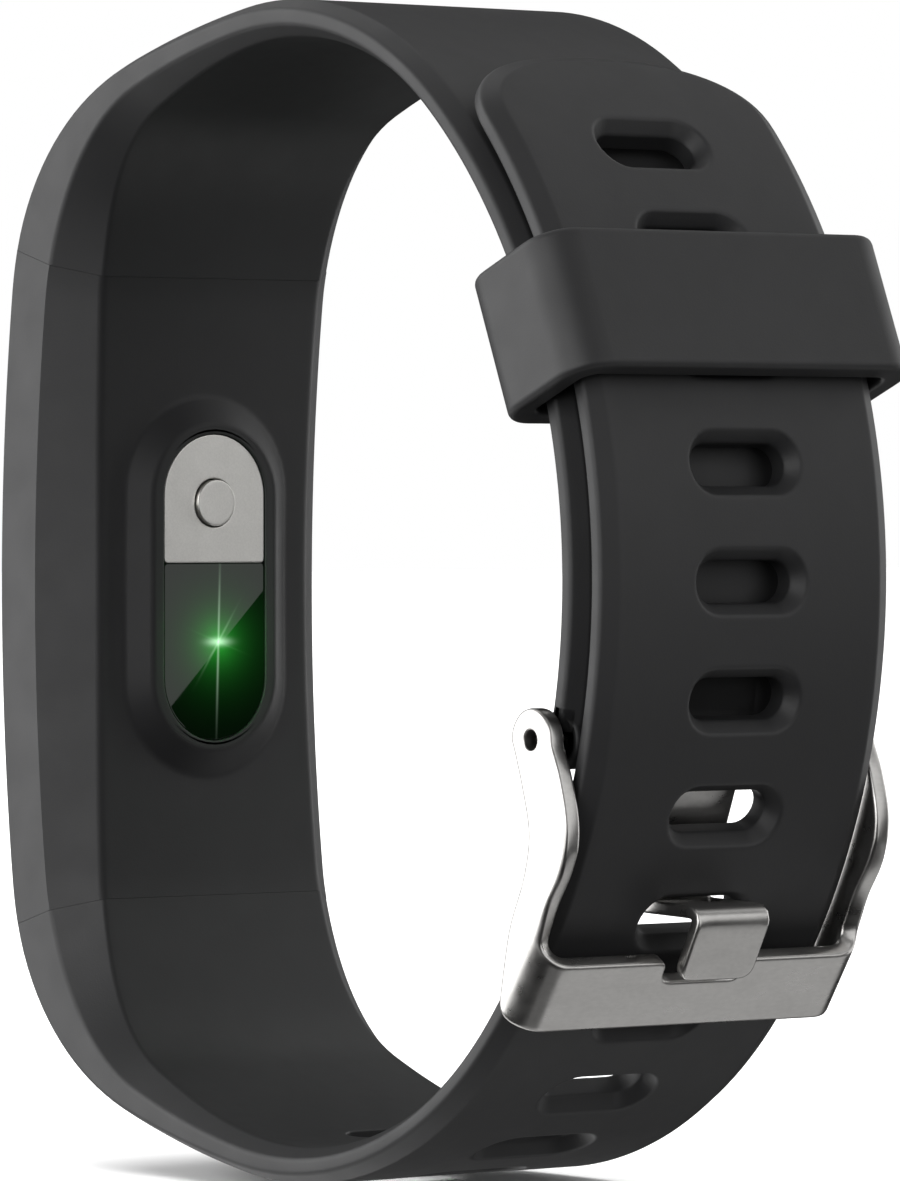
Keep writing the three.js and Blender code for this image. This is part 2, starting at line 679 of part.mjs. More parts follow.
function buckleTongue() {
  const line = tongueLine();
  const half = TONGUE_THICK / 2;
  const offsets = line.map((point, i) => {
    const before = line[Math.max(i - 1, 0)];
    const after = line[Math.min(i + 1, line.length - 1)];
    const along = after.clone().sub(before).normalize();
    return new THREE.Vector2(-along.y, along.x).multiplyScalar(half);
  });
  const outline = [
    ...line.map((point, i) => point.clone().add(offsets[i])),
    ...line.map((point, i) => point.clone().sub(offsets[i])).reverse(),
  ];
  const y = [-TONGUE_HALF, TONGUE_HALF];
  const strip = solid(extrudeY(new THREE.Shape(outline), y));
  const eye = solid(cylinderY(PIVOT, TONGUE_EYE, y, 24));
  return strip.add(eye).subtract(solid(cylinderY(PIVOT, LUG_BORE, [-4, 4], 20)));
}

function barTube() {
  const tube = solid(cylinderY(PIVOT, BAR_TUBE_RADIUS, [-BAR_HALF, BAR_HALF], 24));
  const bore = solid(cylinderY(PIVOT, BAR_TUBE_BORE, [-BAR_HALF + BAR_LIP, BAR_HALF - BAR_LIP], 20));
  const lips = solid(cylinderY(PIVOT, BAR_LIP_BORE, [-BAR_HALF - 1, BAR_HALF + 1], 20));
  return cut(tube, bore, lips);
}

function barTip(side) {
  const span = (a, b) => [side * a, side * b].sort((p, q) => p - q);
  const pin = solid(cylinderY(PIVOT, TIP_RADIUS, span(TIP_COLLAR[0] + 0.1, TIP_END), 16));
  return pin.add(solid(cylinderY(PIVOT, TIP_COLLAR_RADIUS, span(...TIP_COLLAR), 16)));
}

class Coil extends THREE.Curve {
  constructor(side) {
    super();
    this.side = side;
  }

  getPoint(t, target = new THREE.Vector3()) {
    const angle = 2 * Math.PI * SPRING_TURNS * t;
    const y = this.side * (SPRING_SPAN[0] + (SPRING_SPAN[1] - SPRING_SPAN[0]) * t);
    const x = PIVOT.x + SPRING_RADIUS * Math.cos(angle);
    return target.set(x, y, PIVOT.z + SPRING_RADIUS * Math.sin(angle));
  }
}

function barSpring(side) {
  const wire = new THREE.Shape();
  wire.absarc(0, 0, SPRING_WIRE, 0, 2 * Math.PI);
  const extrudePath = new Coil(side);
  const options = { steps: SPRING_TURNS * 8, extrudePath, curveSegments: 3, bevelEnabled: false };
  return new THREE.ExtrudeGeometry(wire, options);
}

// ---------------------------------------------------------------- assembly

const tracker = new THREE.Group();

function add(name, shape, finish, parent = tracker) {
  const geometry = shape.isBufferGeometry ? shape : geometryOf(shape);
  const mesh = new THREE.Mesh(geometry, new THREE.MeshStandardMaterial(FINISH[finish]));
  mesh.name = name;
  parent.add(mesh);
}

add('front_shell', frontShell(), 'casing');
add('rear_cover', rearCover(), 'casing');
add('front_lens', frontLens(), 'glass');
add('cover_seal', sealRing(0), 'seal');
add('display_panel', box([-28.45, -27.45], [-6.9, 6.9], [-11.5, 15.5]), 'glass');
add('touch_pad', box([-28.35, -27.45], [-3.3, 3.3], [-16.4, -13.3]), 'seal');
add('main_board', box([-27.3, -26.7], [-8.3, 8.3], [-16.4, 16.4]), 'board');
add('main_chip', box([-26.55, -25.7], [-4, 1], [11.2, 16.2]), 'chip');
add('motion_sensor', box([-26.55, -25.8], [3, 5.5], [12.2, 15.2]), 'chip');
add('battery', battery(), 'cell');
add('motor_base', motorBase(), 'steel');
add('motor_cup', motorCup(), 'steel');
add('motor_weight', motorWeight(), 'steel');
add('sensor_board', stadiumPlate(2.8, 8, [-24.3, -23.95]), 'board');
add('green_led', box([-23.9, -23.4], [-0.8, 0.8], [LED_Z - 0.4, LED_Z + 0.4]), 'led');
add('photodiode', box([-23.9, -23.5], [-1, 1], [PHOTODIODE_Z - 0.9, PHOTODIODE_Z + 0.9]), 'chip');
add('sensor_glass', windowPiece([-12, GLASS.split]), 'glass');
add('electrode_plate', electrodePlate(), 'plate');
add('electrode_disc', cylinderX(DISC.z, DISC.radius, [GLASS.back, DISC.front]), 'plate');
add('charge_contact_left', contactBox(-1, 0), 'gold');
add('charge_contact_right', contactBox(1, 0), 'gold');
add('upper_strap', upperStrap(), 'rubber');
add('lower_strap', lowerStrap(), 'rubber');
add('buckle_frame', buckleFrame(), 'steel');
add('buckle_tongue', buckleTongue(), 'steel');
add('spring_bar_tube', barTube(), 'steel');

for (const [side, word] of [[-1, 'left'], [1, 'right']]) {
  add(`spring_bar_tip_${word}`, barTip(side), 'steel');
  add(`spring_bar_spring_${word}`, barSpring(side), 'steel');
}

const overlapTurn = new THREE.Group();
overlapTurn.position.set(OVERLAP.x, 0, OVERLAP.z);
overlapTurn.rotation.y = -radians(KEEPER_ANGLE);
tracker.add(overlapTurn);
add('keeper', keeper(), 'rubber', overlapTurn);

export default tracker;
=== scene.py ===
"""Looks of the fitness tracker band: fine rubber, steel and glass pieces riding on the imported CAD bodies."""

import math

import bmesh
import bpy
import numpy as np
from mathutils import Matrix, Vector
from mathutils.geometry import delaunay_2d_cdt

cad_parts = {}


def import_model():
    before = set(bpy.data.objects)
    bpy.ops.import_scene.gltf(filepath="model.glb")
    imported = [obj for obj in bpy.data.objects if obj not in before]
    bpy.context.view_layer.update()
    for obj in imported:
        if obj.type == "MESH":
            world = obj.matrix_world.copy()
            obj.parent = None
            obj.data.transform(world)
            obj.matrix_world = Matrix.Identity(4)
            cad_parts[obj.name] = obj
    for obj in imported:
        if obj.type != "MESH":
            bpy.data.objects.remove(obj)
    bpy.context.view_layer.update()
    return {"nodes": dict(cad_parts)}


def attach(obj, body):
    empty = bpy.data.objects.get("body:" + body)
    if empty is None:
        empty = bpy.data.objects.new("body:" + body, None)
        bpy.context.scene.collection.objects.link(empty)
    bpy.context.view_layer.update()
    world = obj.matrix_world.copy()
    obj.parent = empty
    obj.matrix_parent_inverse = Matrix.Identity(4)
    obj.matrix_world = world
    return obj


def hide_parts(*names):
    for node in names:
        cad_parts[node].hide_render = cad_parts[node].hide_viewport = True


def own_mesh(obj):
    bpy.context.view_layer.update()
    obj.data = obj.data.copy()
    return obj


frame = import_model()

MM = 0.001  # every dimension below is in millimetres

# ---------------------------------------------------------------- dimensions

BAND_HALF = 10.0
POD_X = -28.05
LEAD_ARCS = ((17.0, 132.0), (16.6, 14.8), (10.4, 66.0))  # length and radius, from the pod's middle
OVERLAP = np.array((-11.15, 0.8))  # where the overlapping straps' arcs are centred, in X and Z
UPPER_RADIUS = 34.0
TAIL_RADIUS = 36.5
POD_END, STRAP_START = 19.19, 19.21  # the pod and the straps meet at a hairline seam
TAIL_TIP_ANGLE = 50.5

# arc length: side face, inner chamfer depth and width, outer chamfer depth and width
SECTION_LAW = (
    (0.0, 3.5, 2.85, 2.6, 0.4, 0.8),
    (19.2, 3.5, 2.4, 2.2, 0.4, 0.8),
    (33.6, 1.4, 1.2, 1.5, 0.5, 0.9),
    (44.0, 0.95, 0.7, 1.1, 0.57, 1.0),
    (64.0, 0.75, 0.55, 1.0, 0.55, 1.0),
    (200.0, 0.75, 0.55, 1.0, 0.55, 1.0),
)

HOLE_PITCH = 6.25
HOLE_COUNT = 13
HOLES_BELOW = 5
HOLE_HALF_LONG = 3.3
HOLE_HALF_SHORT = 1.15
HOLE_FLARE = 0.6
FLARE_DEPTH = 0.7
TONGUE_HOLE_ANGLE = -29.6

# the spring bar's axis, in X and Z
PIVOT = OVERLAP + 33.7 * np.array((math.cos(math.radians(-14.5)), math.sin(math.radians(-14.5))))
UPPER_END_ANGLE = -13.4
END_EASE = 0.07  # how far the faces stop short of a square end
LUG_RADIUS = 1.6
LUG_HALF = 9.4
LUG_BORE = 0.85
STRAP_END_HALF = 9.37  # the strap is narrower beside the frame's ears
STRAP_END_REACH = 1.2
SLOT_HALF, SLOT_REACH = 2.8, 4.2
CLEAR_AWAY, PAST_SIDES = 3.0, 12.0  # how far a cutting piece runs past what it cuts, and out to each side
TENON_HALF, TENON_HEIGHTS, TENON_REACH = 5.4, (-3.6, -1.95), (-1.2, 7.0)
SOCKET_HEIGHTS, SOCKET_REACH, SOCKET_PLAY = (-3.9, -1.65), (-1.0, 7.3), 0.3
SEAT_HALF, SEAT_LONG, SEAT_CORNER = 8.75, 17.45, 1.25
LENS_HALF, LENS_LONG, LENS_CORNER = 8.7, 17.4, 1.2
# how far the lens rises over the side face's outer edge, what it gains in the middle, and its depth below
LENS_RIM, LENS_CROWN, LENS_DEPTH = 0.5, 0.75, 0.35

ISLAND_X = -22.3
WINDOW_HALF, WINDOW_LONG, WINDOW_FLOOR = 3.65, 8.95, -23.2
GLASS_HALF, GLASS_LONG = 3.6, 8.9
GLASS_BACK, GLASS_FRONT = -23.1, -22.4
GLASS_THICK, GLASS_MIDDLE = GLASS_FRONT - GLASS_BACK, (GLASS_FRONT + GLASS_BACK) / 2
GLASS_SPLIT, GLASS_GAP = 1.37, 0.04
DISC_Z, DISC_RADIUS, DISC_HOLE, DISC_FRONT = 4.9, 1.35, 1.43, -22.15
LED = (0.28, -3.2)  # across the band and up, from the pod's middle

KEEPER_ANGLE = 22.6
KEEPER_LENGTH = 8.0
KEEPER_RADII = (31.0, 39.25)
KEEPER_HALF = 11.9
KEEPER_WALL, KEEPER_CORNER = 1.5, 2.3

FRAME_OUTER = 11.3
FRAME_THICK = 1.0
BEND_RADIUS = 1.9
EAR_RADIUS = 1.7
EAR_HOLE = 0.55
BAR_TILT = 33
BAR_CORNER = np.array((22.6, -19.7))
BAR_HEIGHT = 4.3
NOTCH_HALF, NOTCH_DEPTH = 2.7, 1.3
TOE_REACH = 1.95
ARM_FRONT = np.array([(0.7, -10.6), (1.4, -8.9), (2.6, -7.0), (3.05, -4.6), (2.5, -2.1), (1.69, -0.17)])
ARM_BACK = np.array([(-1.69, 0.0), (-0.8, -2.6), (-0.25, -5.0), (-0.7, -7.3), (-1.85, -9.9), (-2.45, -12.4)])
TONGUE_HALF, TONGUE_THICK, TONGUE_EYE = 2.5, 0.7, 1.55
TONGUE_BENDS = np.array([(19.2, -16.75), (24.8, -16.95), (22.9, -20.55)])

BAR_RADIUS, BAR_BORE, BAR_LIP_BORE, BAR_HALF = 0.75, 0.6, 0.5, 9.7
BAR_LIP, BAR_CHAMFER = 0.5, 0.08
TIP_RADIUS, TIP_END, TIP_CHAMFER = 0.45, 10.75, 0.12
TIP_COLLAR_RADIUS, TIP_COLLAR = 0.54, (8.3, 9.1)
SPRING_RADIUS, SPRING_WIRE, SPRING_TURNS, SPRING_SPAN = 0.4, 0.07, 9, (0.4, 8.1)

# ---------------------------------------------------------------- stage and light, in metres unless said

FLOOR_REACH, FLOOR_LEVEL = 3.0, -0.0334
FLOOR_CORNERS = ((-1, -1), (1, -1), (1, 1), (-1, 1))
FLOOR_SUN, FLOOR_SUN_SPREAD = 4.3, 80  # watts per square metre and degrees
CARD_EDGE = ((3.55, -0.2), (-3.3, -7.1))  # the ends of the card's edge on the sensor glass, in millimetres
CARD_AWAY, CARD_SIZE, CARD_RADIANCE = 1.0, 1.2, 1.0
SPILL_PLACE, SPILL_POWER, SPILL_RADIUS = (-0.0212, LED[0] * MM, LED[1] * MM), 0.0009, 0.0012
SOFTBOX_AWAY = 1.5

# the studio's softboxes: name, turn from +X towards +Y and lift in degrees, size in metres, radiance
STUDIO = (
    ("left", -90, 10, 1.4, 1.9),
    ("left_back", -140, 10, 1.4, 2.9),
    ("left_front", -60, 15, 1.0, 2.1),
    ("right", 90, 10, 1.4, 1.4),
    ("top", 0, 88, 1.4, 0.35),
    ("top_front", 0, 48, 1.2, 0.2),
    ("top_back", 180, 50, 1.4, 0.9),
    ("top_right", 90, 52, 1.4, 0.55),
    ("low", 0, -88, 1.4, 0.35),
    ("low_right", 70, -48, 1.2, 0.55),
    ("low_back", 180, -45, 1.4, 1.3),
)

# turned from +X towards -Y and lifted, in degrees, then metres and millimetres
CAMERA_TURN, CAMERA_LIFT, CAMERA_DISTANCE, LENS_MM = 37.811, 0.67, 0.42836, 306

# ---------------------------------------------------------------- objects


def add_object(name, data):
    """A new object in the scene that shows a mesh, a light or a camera."""
    obj = bpy.data.objects.new(name, data)
    bpy.context.scene.collection.objects.link(obj)
    return obj


def add_mesh(name, bm):
    """A new mesh object, made from a bmesh that is used up."""
    mesh = bpy.data.meshes.new(name)
    bm.to_mesh(mesh)
    bm.free()
    return add_object(name, mesh)


# ---------------------------------------------------------------- plane curves


def bezier(a, b, c, steps):
    """Points of a quadratic curve from a to c with its corner at b."""
    t = np.linspace(0.0, 1.0, steps + 1)[:, None]
    a, b, c = (np.asarray(p, float) for p in (a, b, c))
    return (1 - t) ** 2 * a + 2 * t * (1 - t) * b + t**2 * c


def soften(points, cuts, steps=4):
    """An open polyline with each inner corner rounded. Each curve starts a cut away from its corner."""
    points = [np.asarray(p, float) for p in points]
    line = [points[0][None, :]]
    for i in range(1, len(points) - 1):
        cut = cuts[i - 1]
        before = points[i] + cut * unit(points[i - 1] - points[i])
        after = points[i] + cut * unit(points[i + 1] - points[i])
        line.append(bezier(before, points[i], after, steps))
    line.append(points[-1][None, :])
    return np.vstack(line)


def unit(v):
    """The vector with its length brought to 1."""
    return v / np.linalg.norm(v)


def circle(count):
    """Points round a circle of radius 1, which are their own outward normals."""
    angles = [2 * math.pi * i / count for i in range(count)]
    return np.array([(math.cos(a), math.sin(a)) for a in angles])


def stadium(half_long, half_short, steps=12, side_steps=4):
    """Closed outline (long axis first) and its outward normals."""
    reach = half_long - half_short
    points, normals = [], []
    for side in (1, -1):
        for i in range(steps + 1):
            angle = -math.pi / 2 + math.pi * i / steps
            normal = np.array((side * math.cos(angle), side * math.sin(angle)))
            points.append(np.array((side * reach, 0.0)) + half_short * normal)
            normals.append(normal)
        for i in range(1, side_steps):
            points.append(np.array((side * reach * (1 - 2 * i / side_steps), side * half_short)))
            normals.append(np.array((0.0, float(side))))
    return np.array(points), np.array(normals)


def rounded_rect(half_a, half_b, radius, steps=8, spacing=1.0):
    """Closed outline and its outward normals, with points along the straight sides too."""
    points, normals = [], []
    corners = ((1, -1, -90), (1, 1, 0), (-1, 1, 90), (-1, -1, 180))
    for k, (sa, sb, start) in enumerate(corners):
        centre = np.array((sa * (half_a - radius), sb * (half_b - radius)))
        for i in range(steps + 1):
            angle = math.radians(start + 90 * i / steps)
            normal = np.array((math.cos(angle), math.sin(angle)))
            points.append(centre + radius * normal)
            normals.append(normal)
        na, nb, _ = corners[(k + 1) % 4]
        goal = np.array((na * (half_a - radius), nb * (half_b - radius))) + radius * normals[-1]
        span = goal - points[-1]
        count = max(1, round(float(np.linalg.norm(span)) / spacing))
        last = points[-1]
        for i in range(1, count):
            points.append(last + span * i / count)
            normals.append(normals[-1] * 1.0)
    return np.array(points), np.array(normals)


def outline_normals(points):
    """Outward normals of a smooth closed outline that runs counter-clockwise."""
    step = np.roll(points, -1, 0) - points
    step = step / np.linalg.norm(step, axis=1)[:, None]
    along = step + np.roll(step, 1, 0)
    out = np.stack((along[:, 1], -along[:, 0]), 1)
    return out / np.linalg.norm(out, axis=1)[:, None]


# ---------------------------------------------------------------- the band's path


class BandPath:
    """A chain of arcs in the X-Z plane from the pod over the wrist; sign -1 mirrors it downwards."""

    def __init__(self, sign, overlap_radius):
        self.sign = sign
        self.centre = np.array((OVERLAP[0], sign * OVERLAP[1]))
        self.radius = overlap_radius
        self.arcs = []
        self.total = 0.0
        self.tip = (POD_X, 0.0, math.pi / 2)
        for length, radius in LEAD_ARCS:
            self._push(length, radius)
        self._push_blend()
        self.overlap_start = self.total
        x, z, _ = self.tip
        self.start_angle = math.atan2(z - self.centre[1], x - self.centre[0])
        self._push(2 * math.pi * overlap_radius, overlap_radius)

    def _push(self, length, radius):
        """Adds an arc that carries straight on from the last one."""
        x, z, heading = self.tip
        cx = x + radius * math.sin(heading)
        cz = z - radius * math.cos(heading)
        self.arcs.append((self.total, radius, heading, cx, cz))
        self.total += length
        turned = heading - length / radius
        self.tip = (cx - radius * math.sin(turned), cz + radius * math.cos(turned), turned)

    def _push_blend(self):
        """Adds the arc that runs smoothly into the circle of the overlap."""
        x, z, heading = self.tip
        inward = np.array((math.sin(heading), -math.cos(heading)))
        away = np.array((x, z)) - self.centre
        radius = (self.radius**2 - away @ away) / (2 * (inward @ away + self.radius))
        hub = away + radius * inward
        final = math.atan2(hub[1], hub[0]) - math.pi / 2
        self._push((heading - final) * radius, radius)

    def frame(self, s):
        """Point, outward normal and direction of travel at arc length s."""
        start, radius, heading, cx, cz = [arc for arc in self.arcs if arc[0] <= s][-1]
        turned = heading - (s - start) / radius
        point = np.array((cx - radius * math.sin(turned), self.sign * (cz + radius * math.cos(turned))))
        normal = np.array((-math.sin(turned), self.sign * math.cos(turned)))
        along = np.array((math.cos(turned), self.sign * math.sin(turned)))
        return point, normal, along

    def length_at(self, degrees):
        """The arc length at an angle round the overlap's centre."""
        return self.overlap_start + (self.start_angle - self.sign * math.radians(degrees)) * self.radius

    def place(self, s, y, n):
        """The point at arc length s, y across the band and n out from its middle surface."""
        point, normal, _ = self.frame(s)
        x, z = point + n * normal
        return (x, y, z)


class PodPath:
    """Both paths joined at the pod's middle: positive lengths go up, negative ones down."""

    def place(self, s, y, n):
        """The point at arc length s, as on either path."""
        return (LOWER if s < 0 else UPPER).place(abs(s), y, n)


UPPER = BandPath(1, UPPER_RADIUS)
LOWER = BandPath(-1, TAIL_RADIUS)
POD = PodPath()


def law(s):
    """Side face, inner depth and width, outer depth and width at arc length s, eased between the rows."""
    s = abs(s)
    rows = SECTION_LAW
    k = next(i for i in range(1, len(rows)) if s <= rows[i][0])
    a, b = rows[k - 1], rows[k]
    t = (s - a[0]) / (b[0] - a[0])
    before = rows[k - 2] if k > 1 else a
    after = rows[k + 1] if k + 1 < len(rows) else b
    values = []
    for c in range(1, 6):
        slope = (b[c] - a[c]) / (b[0] - a[0])
        slope_a = 0.0 if k == 1 else gentle(slope, (a[c] - before[c]) / (a[0] - before[0]))
        slope_b = gentle(slope, (after[c] - b[c]) / max(after[0] - b[0], 1e-9)) if after is not b else 0.0
        values.append(hermite(a[c], b[c], slope_a, slope_b, t, b[0] - a[0]))
    return values


def gentle(p, q):
    """The slope where two stretches of slopes p and q meet, without overshoot."""
    return 0.0 if p * q <= 0 else 2 * p * q / (p + q)


def hermite(a, b, slope_a, slope_b, t, width):
    """A value between a and b on a cubic with the given slopes at its ends, t of the way along its width."""
    h00 = 2 * t**3 - 3 * t**2 + 1
    h10 = t**3 - 2 * t**2 + t
    h01 = 3 * t**2 - 2 * t**3
    h11 = t**3 - t**2
    return h00 * a + h10 * width * slope_a + h01 * b + h11 * width * slope_b


# ---------------------------------------------------------------- mesh building


class Shell:
    """Gathers vertices and faces of one piece, in millimetres."""

    def __init__(self):
        self.verts = []
        self.faces = []

    def ring(self, points):
        """Adds vertices and gives back their numbers."""
        first = len(self.verts)
        self.verts.extend(tuple(p) for p in points)
        return list(range(first, len(self.verts)))

    def loft(self, rings, closed=False):
        """Joins each ring to the next by a band of faces, and if closed the last one to the first."""
        for a, b in zip(rings, rings[1:] + rings[:1] if closed else rings[1:]):
            for i in range(len(a)):
                j = (i + 1) % len(a)
                self.faces.append((a[i], a[j], b[j], b[i]))

    def fill(self, loops, place, spacing):
        """Fills the first closed loop, less the others. Each is a list of flat points and one of vertices;
        place turns a flat point into a position."""
        flat = [np.asarray(p, float) for points, _ in loops for p in points]
        known = [v for _, vertices in loops for v in vertices]
        edges, start = [], 0
        for points, _ in loops:
            n = len(points)
            edges += [(start + i, start + (i + 1) % n) for i in range(n)]
            start += n
        border = np.array(flat)
        segments = (border[[a for a, _ in edges]], border[[b for _, b in edges]])
        holes = [np.array(points, float) for points, _ in loops[1:]]
        inner = lattice(border, spacing)
        inner = inner[distance(inner, *segments) > 0.45 * min(spacing)]
        inner = inner[[not any(encloses(hole, p) for hole in holes) for p in inner]]
        everything = [Vector(p) for p in border] + [Vector(p) for p in inner]
        out, _, triangles, origins, _, _ = delaunay_2d_cdt(everything, edges, [], 1, 1e-7)
        index = []
        for point, origin in zip(out, origins):
            on_border = [o for o in origin if o < len(border)]
            if on_border:
                index.append(known[on_border[0]])
            else:
                index.append(len(self.verts))
                self.verts.append(tuple(place(point[0], point[1])))
        for face in triangles:
            centre = sum((out[i] for i in face), Vector((0, 0))) / len(face)
            if not any(encloses(hole, centre) for hole in holes):
                self.faces.append(tuple(index[i] for i in face))

    def object(self, name, weld=1e-4):
        """The piece as a closed mesh, its faces pointing out, with points closer than weld joined."""
        bm = bmesh.new()
        made = [bm.verts.new(Vector(v) * MM) for v in self.verts]
        for face in self.faces:
            if len(set(face)) > 2:
                try:
                    bm.faces.new([made[i] for i in dict.fromkeys(face)])
                except ValueError:
                    pass
        bmesh.ops.remove_doubles(bm, verts=bm.verts[:], dist=weld * MM)
        loose = [v for v in bm.verts if not v.link_faces]
        bmesh.ops.delete(bm, geom=loose, context="VERTS")
        bmesh.ops.recalc_face_normals(bm, faces=bm.faces[:])
        if bm.calc_volume(signed=True) < 0:
            bmesh.ops.reverse_faces(bm, faces=bm.faces[:])
        open_edges = sum(1 for e in bm.edges if len(e.link_faces) != 2)
        if open_edges:
            print(f"MESH {name}: {open_edges} edges that don't join two faces")
        return add_mesh(name, bm)


def lattice(border, spacing):
    """Points in rows and columns that cover the border's box, inside its edges."""
    low, high = border.min(0), border.max(0)
    counts = [max(2, math.ceil((high[i] - low[i]) / spacing[i])) for i in (0, 1)]
    a = np.linspace(low[0], high[0], counts[0] + 1)[1:-1]
    b = np.linspace(low[1], high[1], counts[1] + 1)[1:-1]
    return np.array([(p, q) for p in a for q in b])


def encloses(loop, point):
    """Whether a flat point lies inside a closed loop."""
    x, y = point[0], point[1]
    a, b = loop, np.roll(loop, -1, 0)
    spans = (a[:, 1] > y) != (b[:, 1] > y)
    rise = np.where(spans, b[:, 1] - a[:, 1], 1.0)
    crossing = a[:, 0] + (y - a[:, 1]) * (b[:, 0] - a[:, 0]) / rise
    return bool(np.count_nonzero(spans & (crossing > x)) % 2)


def distance(points, starts, ends):
    """The distance of each point from the nearest of the segments."""
    best = np.full(len(points), np.inf)
    for a, b in zip(starts, ends):
        d = b - a
        t = np.clip(((points - a) @ d) / max(d @ d, 1e-12), 0, 1)
        best = np.minimum(best, np.linalg.norm(points - (a + t[:, None] * d), axis=1))
    return best


def lathe(name, profile, turn, steps=48, closed=False):
    """A body of revolution. profile holds (height, radius) points; turn(height, radius, angle) places them. A
    closed profile is a ring's section; an open one starts and ends on the axis."""
    shell = Shell()
    angles = [2 * math.pi * i / steps for i in range(steps)]
    rings = [shell.ring([turn(height, radius, a) for a in angles]) for height, radius in profile]
    shell.loft(rings, closed)
    return shell.object(name)


def on_pivot(height, radius, angle):
    """Places a lathe's point round the spring bar's axis."""
    return (PIVOT[0] + radius * math.cos(angle), height, PIVOT[1] + radius * math.sin(angle))


def facing_x(z):
    """Places a lathe's point round an axis along X at height z."""
    return lambda height, radius, angle: (height, radius * math.cos(angle), z + radius * math.sin(angle))


def plate(name, outline, normals, profile, place, spacing=(1.0, 1.0), holes=()):
    """A sheet between two faces. profile holds (inset, height) from the first face round the edge to the
    second; place(a, b, height) puts a flat point in space. Each hole is (outline, outward normals, profile),
    with its profile's inset measured out from the hole."""
    shell = Shell()
    loops_top, loops_bottom = [], []
    for points, outward, rim, sign in [(outline, normals, profile, -1.0)] + [(*hole, 1.0) for hole in holes]:
        rings, flats = [], []
        for inset, height in rim:
            flat = points + sign * inset * outward
            flats.append(flat)
            rings.append(shell.ring([place(a, b, height) for a, b in flat]))
        shell.loft(rings)
        loops_top.append((flats[0], rings[0]))
        loops_bottom.append((flats[-1], rings[-1]))
    top, bottom = profile[0][1], profile[-1][1]
    shell.fill(loops_top, lambda a, b: place(a, b, top), spacing)
    shell.fill(loops_bottom, lambda a, b: place(a, b, bottom), spacing)
    return shell.object(name)


def rounded_edge(thick, radius, steps=3):
    """(inset, height) points from one face of a plate to the other, its middle at height 0."""
    half = thick / 2
    corner = [(1.6 * radius, half), (0.0, half), (0.0, -half), (1.6 * radius, -half)]
    return [tuple(p) for p in soften(corner, (radius, radius), steps)]


# ---------------------------------------------------------------- the straps and the pod


def spread(start, end, step):
    """Even steps of about the given size from start to end, both included."""
    return list(np.linspace(start, end, max(2, round(abs(end - start) / step)) + 1))


def band_profile(s, fillet=0.22):
    """(inset from the side, height) points of the strap's section, from its outer face to its inner one."""
    side, inner_depth, inner_width, outer_depth, outer_width = law(s)
    top = side / 2
    corners = [
        (outer_width + 0.6, top + outer_depth),
        (outer_width, top + outer_depth),
        (0.0, top),
        (0.0, -top),
        (inner_width, -top - inner_depth),
        (inner_width + 0.6, -top - inner_depth),
    ]
    small = min(fillet, side * 0.3)
    return soften(corners, (0.14, small, small, 0.2), 4)


def outer_face(s):
    """The height of the band's outer face above its middle surface."""
    side, _, _, outer_depth, _ = law(s)
    return side / 2 + outer_depth


def inner_face(s):
    """The height of the band's inner face, which is below its middle surface."""
    side, inner_depth, _, _, _ = law(s)
    return -side / 2 - inner_depth


def flare_profile(s):
    """(growth, height) points of a strap hole, from the outer face down its flare and wall to the inner."""
    top, bottom = outer_face(s), inner_face(s)
    corners = [
        (HOLE_FLARE + 0.3, top),
        (HOLE_FLARE, top),
        (0.06, top - FLARE_DEPTH),
        (0.0, top - FLARE_DEPTH - 0.12),
        (0.0, bottom),
        (0.35, bottom),
    ]
    return soften(corners, (0.15, 0.08, 0.05, 0.12), 3)


def trace_rims(shell, path, rims, profile):
    """Rings round a piece's edge, and the first and the last of them as loops. Each rim station is
    (s, y, ds, dy, square): a point of the outline, the way its insets go, and whether its end is square."""
    sections = [profile(s) for s, *_ in rims]
    last = len(sections[0]) - 1
    loops = []
    for j in range(last + 1):
        flat = []
        for (s, y, ds, dy, square), section in zip(rims, sections):
            inset = section[j][0]
            limit = BAND_HALF - inset
            ease = END_EASE if j in (0, last) else 0.0
            if square:
                flat.append((s + ds * ease, max(-limit, min(limit, y))))
            else:
                flat.append((s + ds * inset, y + dy * inset))
        ring = shell.ring([path.place(s, y, section[j][1]) for (s, y), section in zip(flat, sections)])
        loops.append((flat, ring))
    shell.loft([ring for _, ring in loops])
    return loops[0], loops[-1]


def trace_hole(shell, path, centre, outline, profile):
    """Rings down a hole, and the first and the last of them as loops."""
    points, normals = outline
    loops = []
    for growth, height in profile(centre):
        grown = points + growth * normals
        flat = [(centre + b, a) for a, b in grown]
        loops.append((flat, shell.ring([path.place(s, y, height) for s, y in flat])))
    shell.loft([ring for _, ring in loops])
    return loops[0], loops[-1]


def band_piece(name, path, rims, profile, holes, top, bottom, spacing=(1.1, 1.25)):
    """A stretch of band between two faces: top(s) and bottom(s) give their heights. Each hole is
    (arc length, outline, profile)."""
    shell = Shell()
    edges = [trace_rims(shell, path, rims, profile)]
    edges += [trace_hole(shell, path, *hole) for hole in holes]
    shell.fill([first for first, _ in edges], lambda s, y: path.place(s, y, top(s)), spacing)
    shell.fill([final for _, final in edges], lambda s, y: path.place(s, y, bottom(s)), spacing)
    return shell.object(name)


def side_rims(stations):
    """Rim stations along both sides, the near one forwards and the far one back."""
    near = [(s, -BAND_HALF, 0.0, 1.0, False) for s in stations]
    far = [(s, BAND_HALF, 0.0, -1.0, False) for s in reversed(stations)]
    return near, far


def square_end(s, direction, inwards, count=16):
    """Rim stations across a square end, with its two corners. direction is the sign of y's travel, and
    inwards the sign of s towards the piece."""
    ys = np.linspace(-BAND_HALF, BAND_HALF, count + 1) * direction
    return [(s, float(y), float(inwards), 0.0, True) for y in ys]


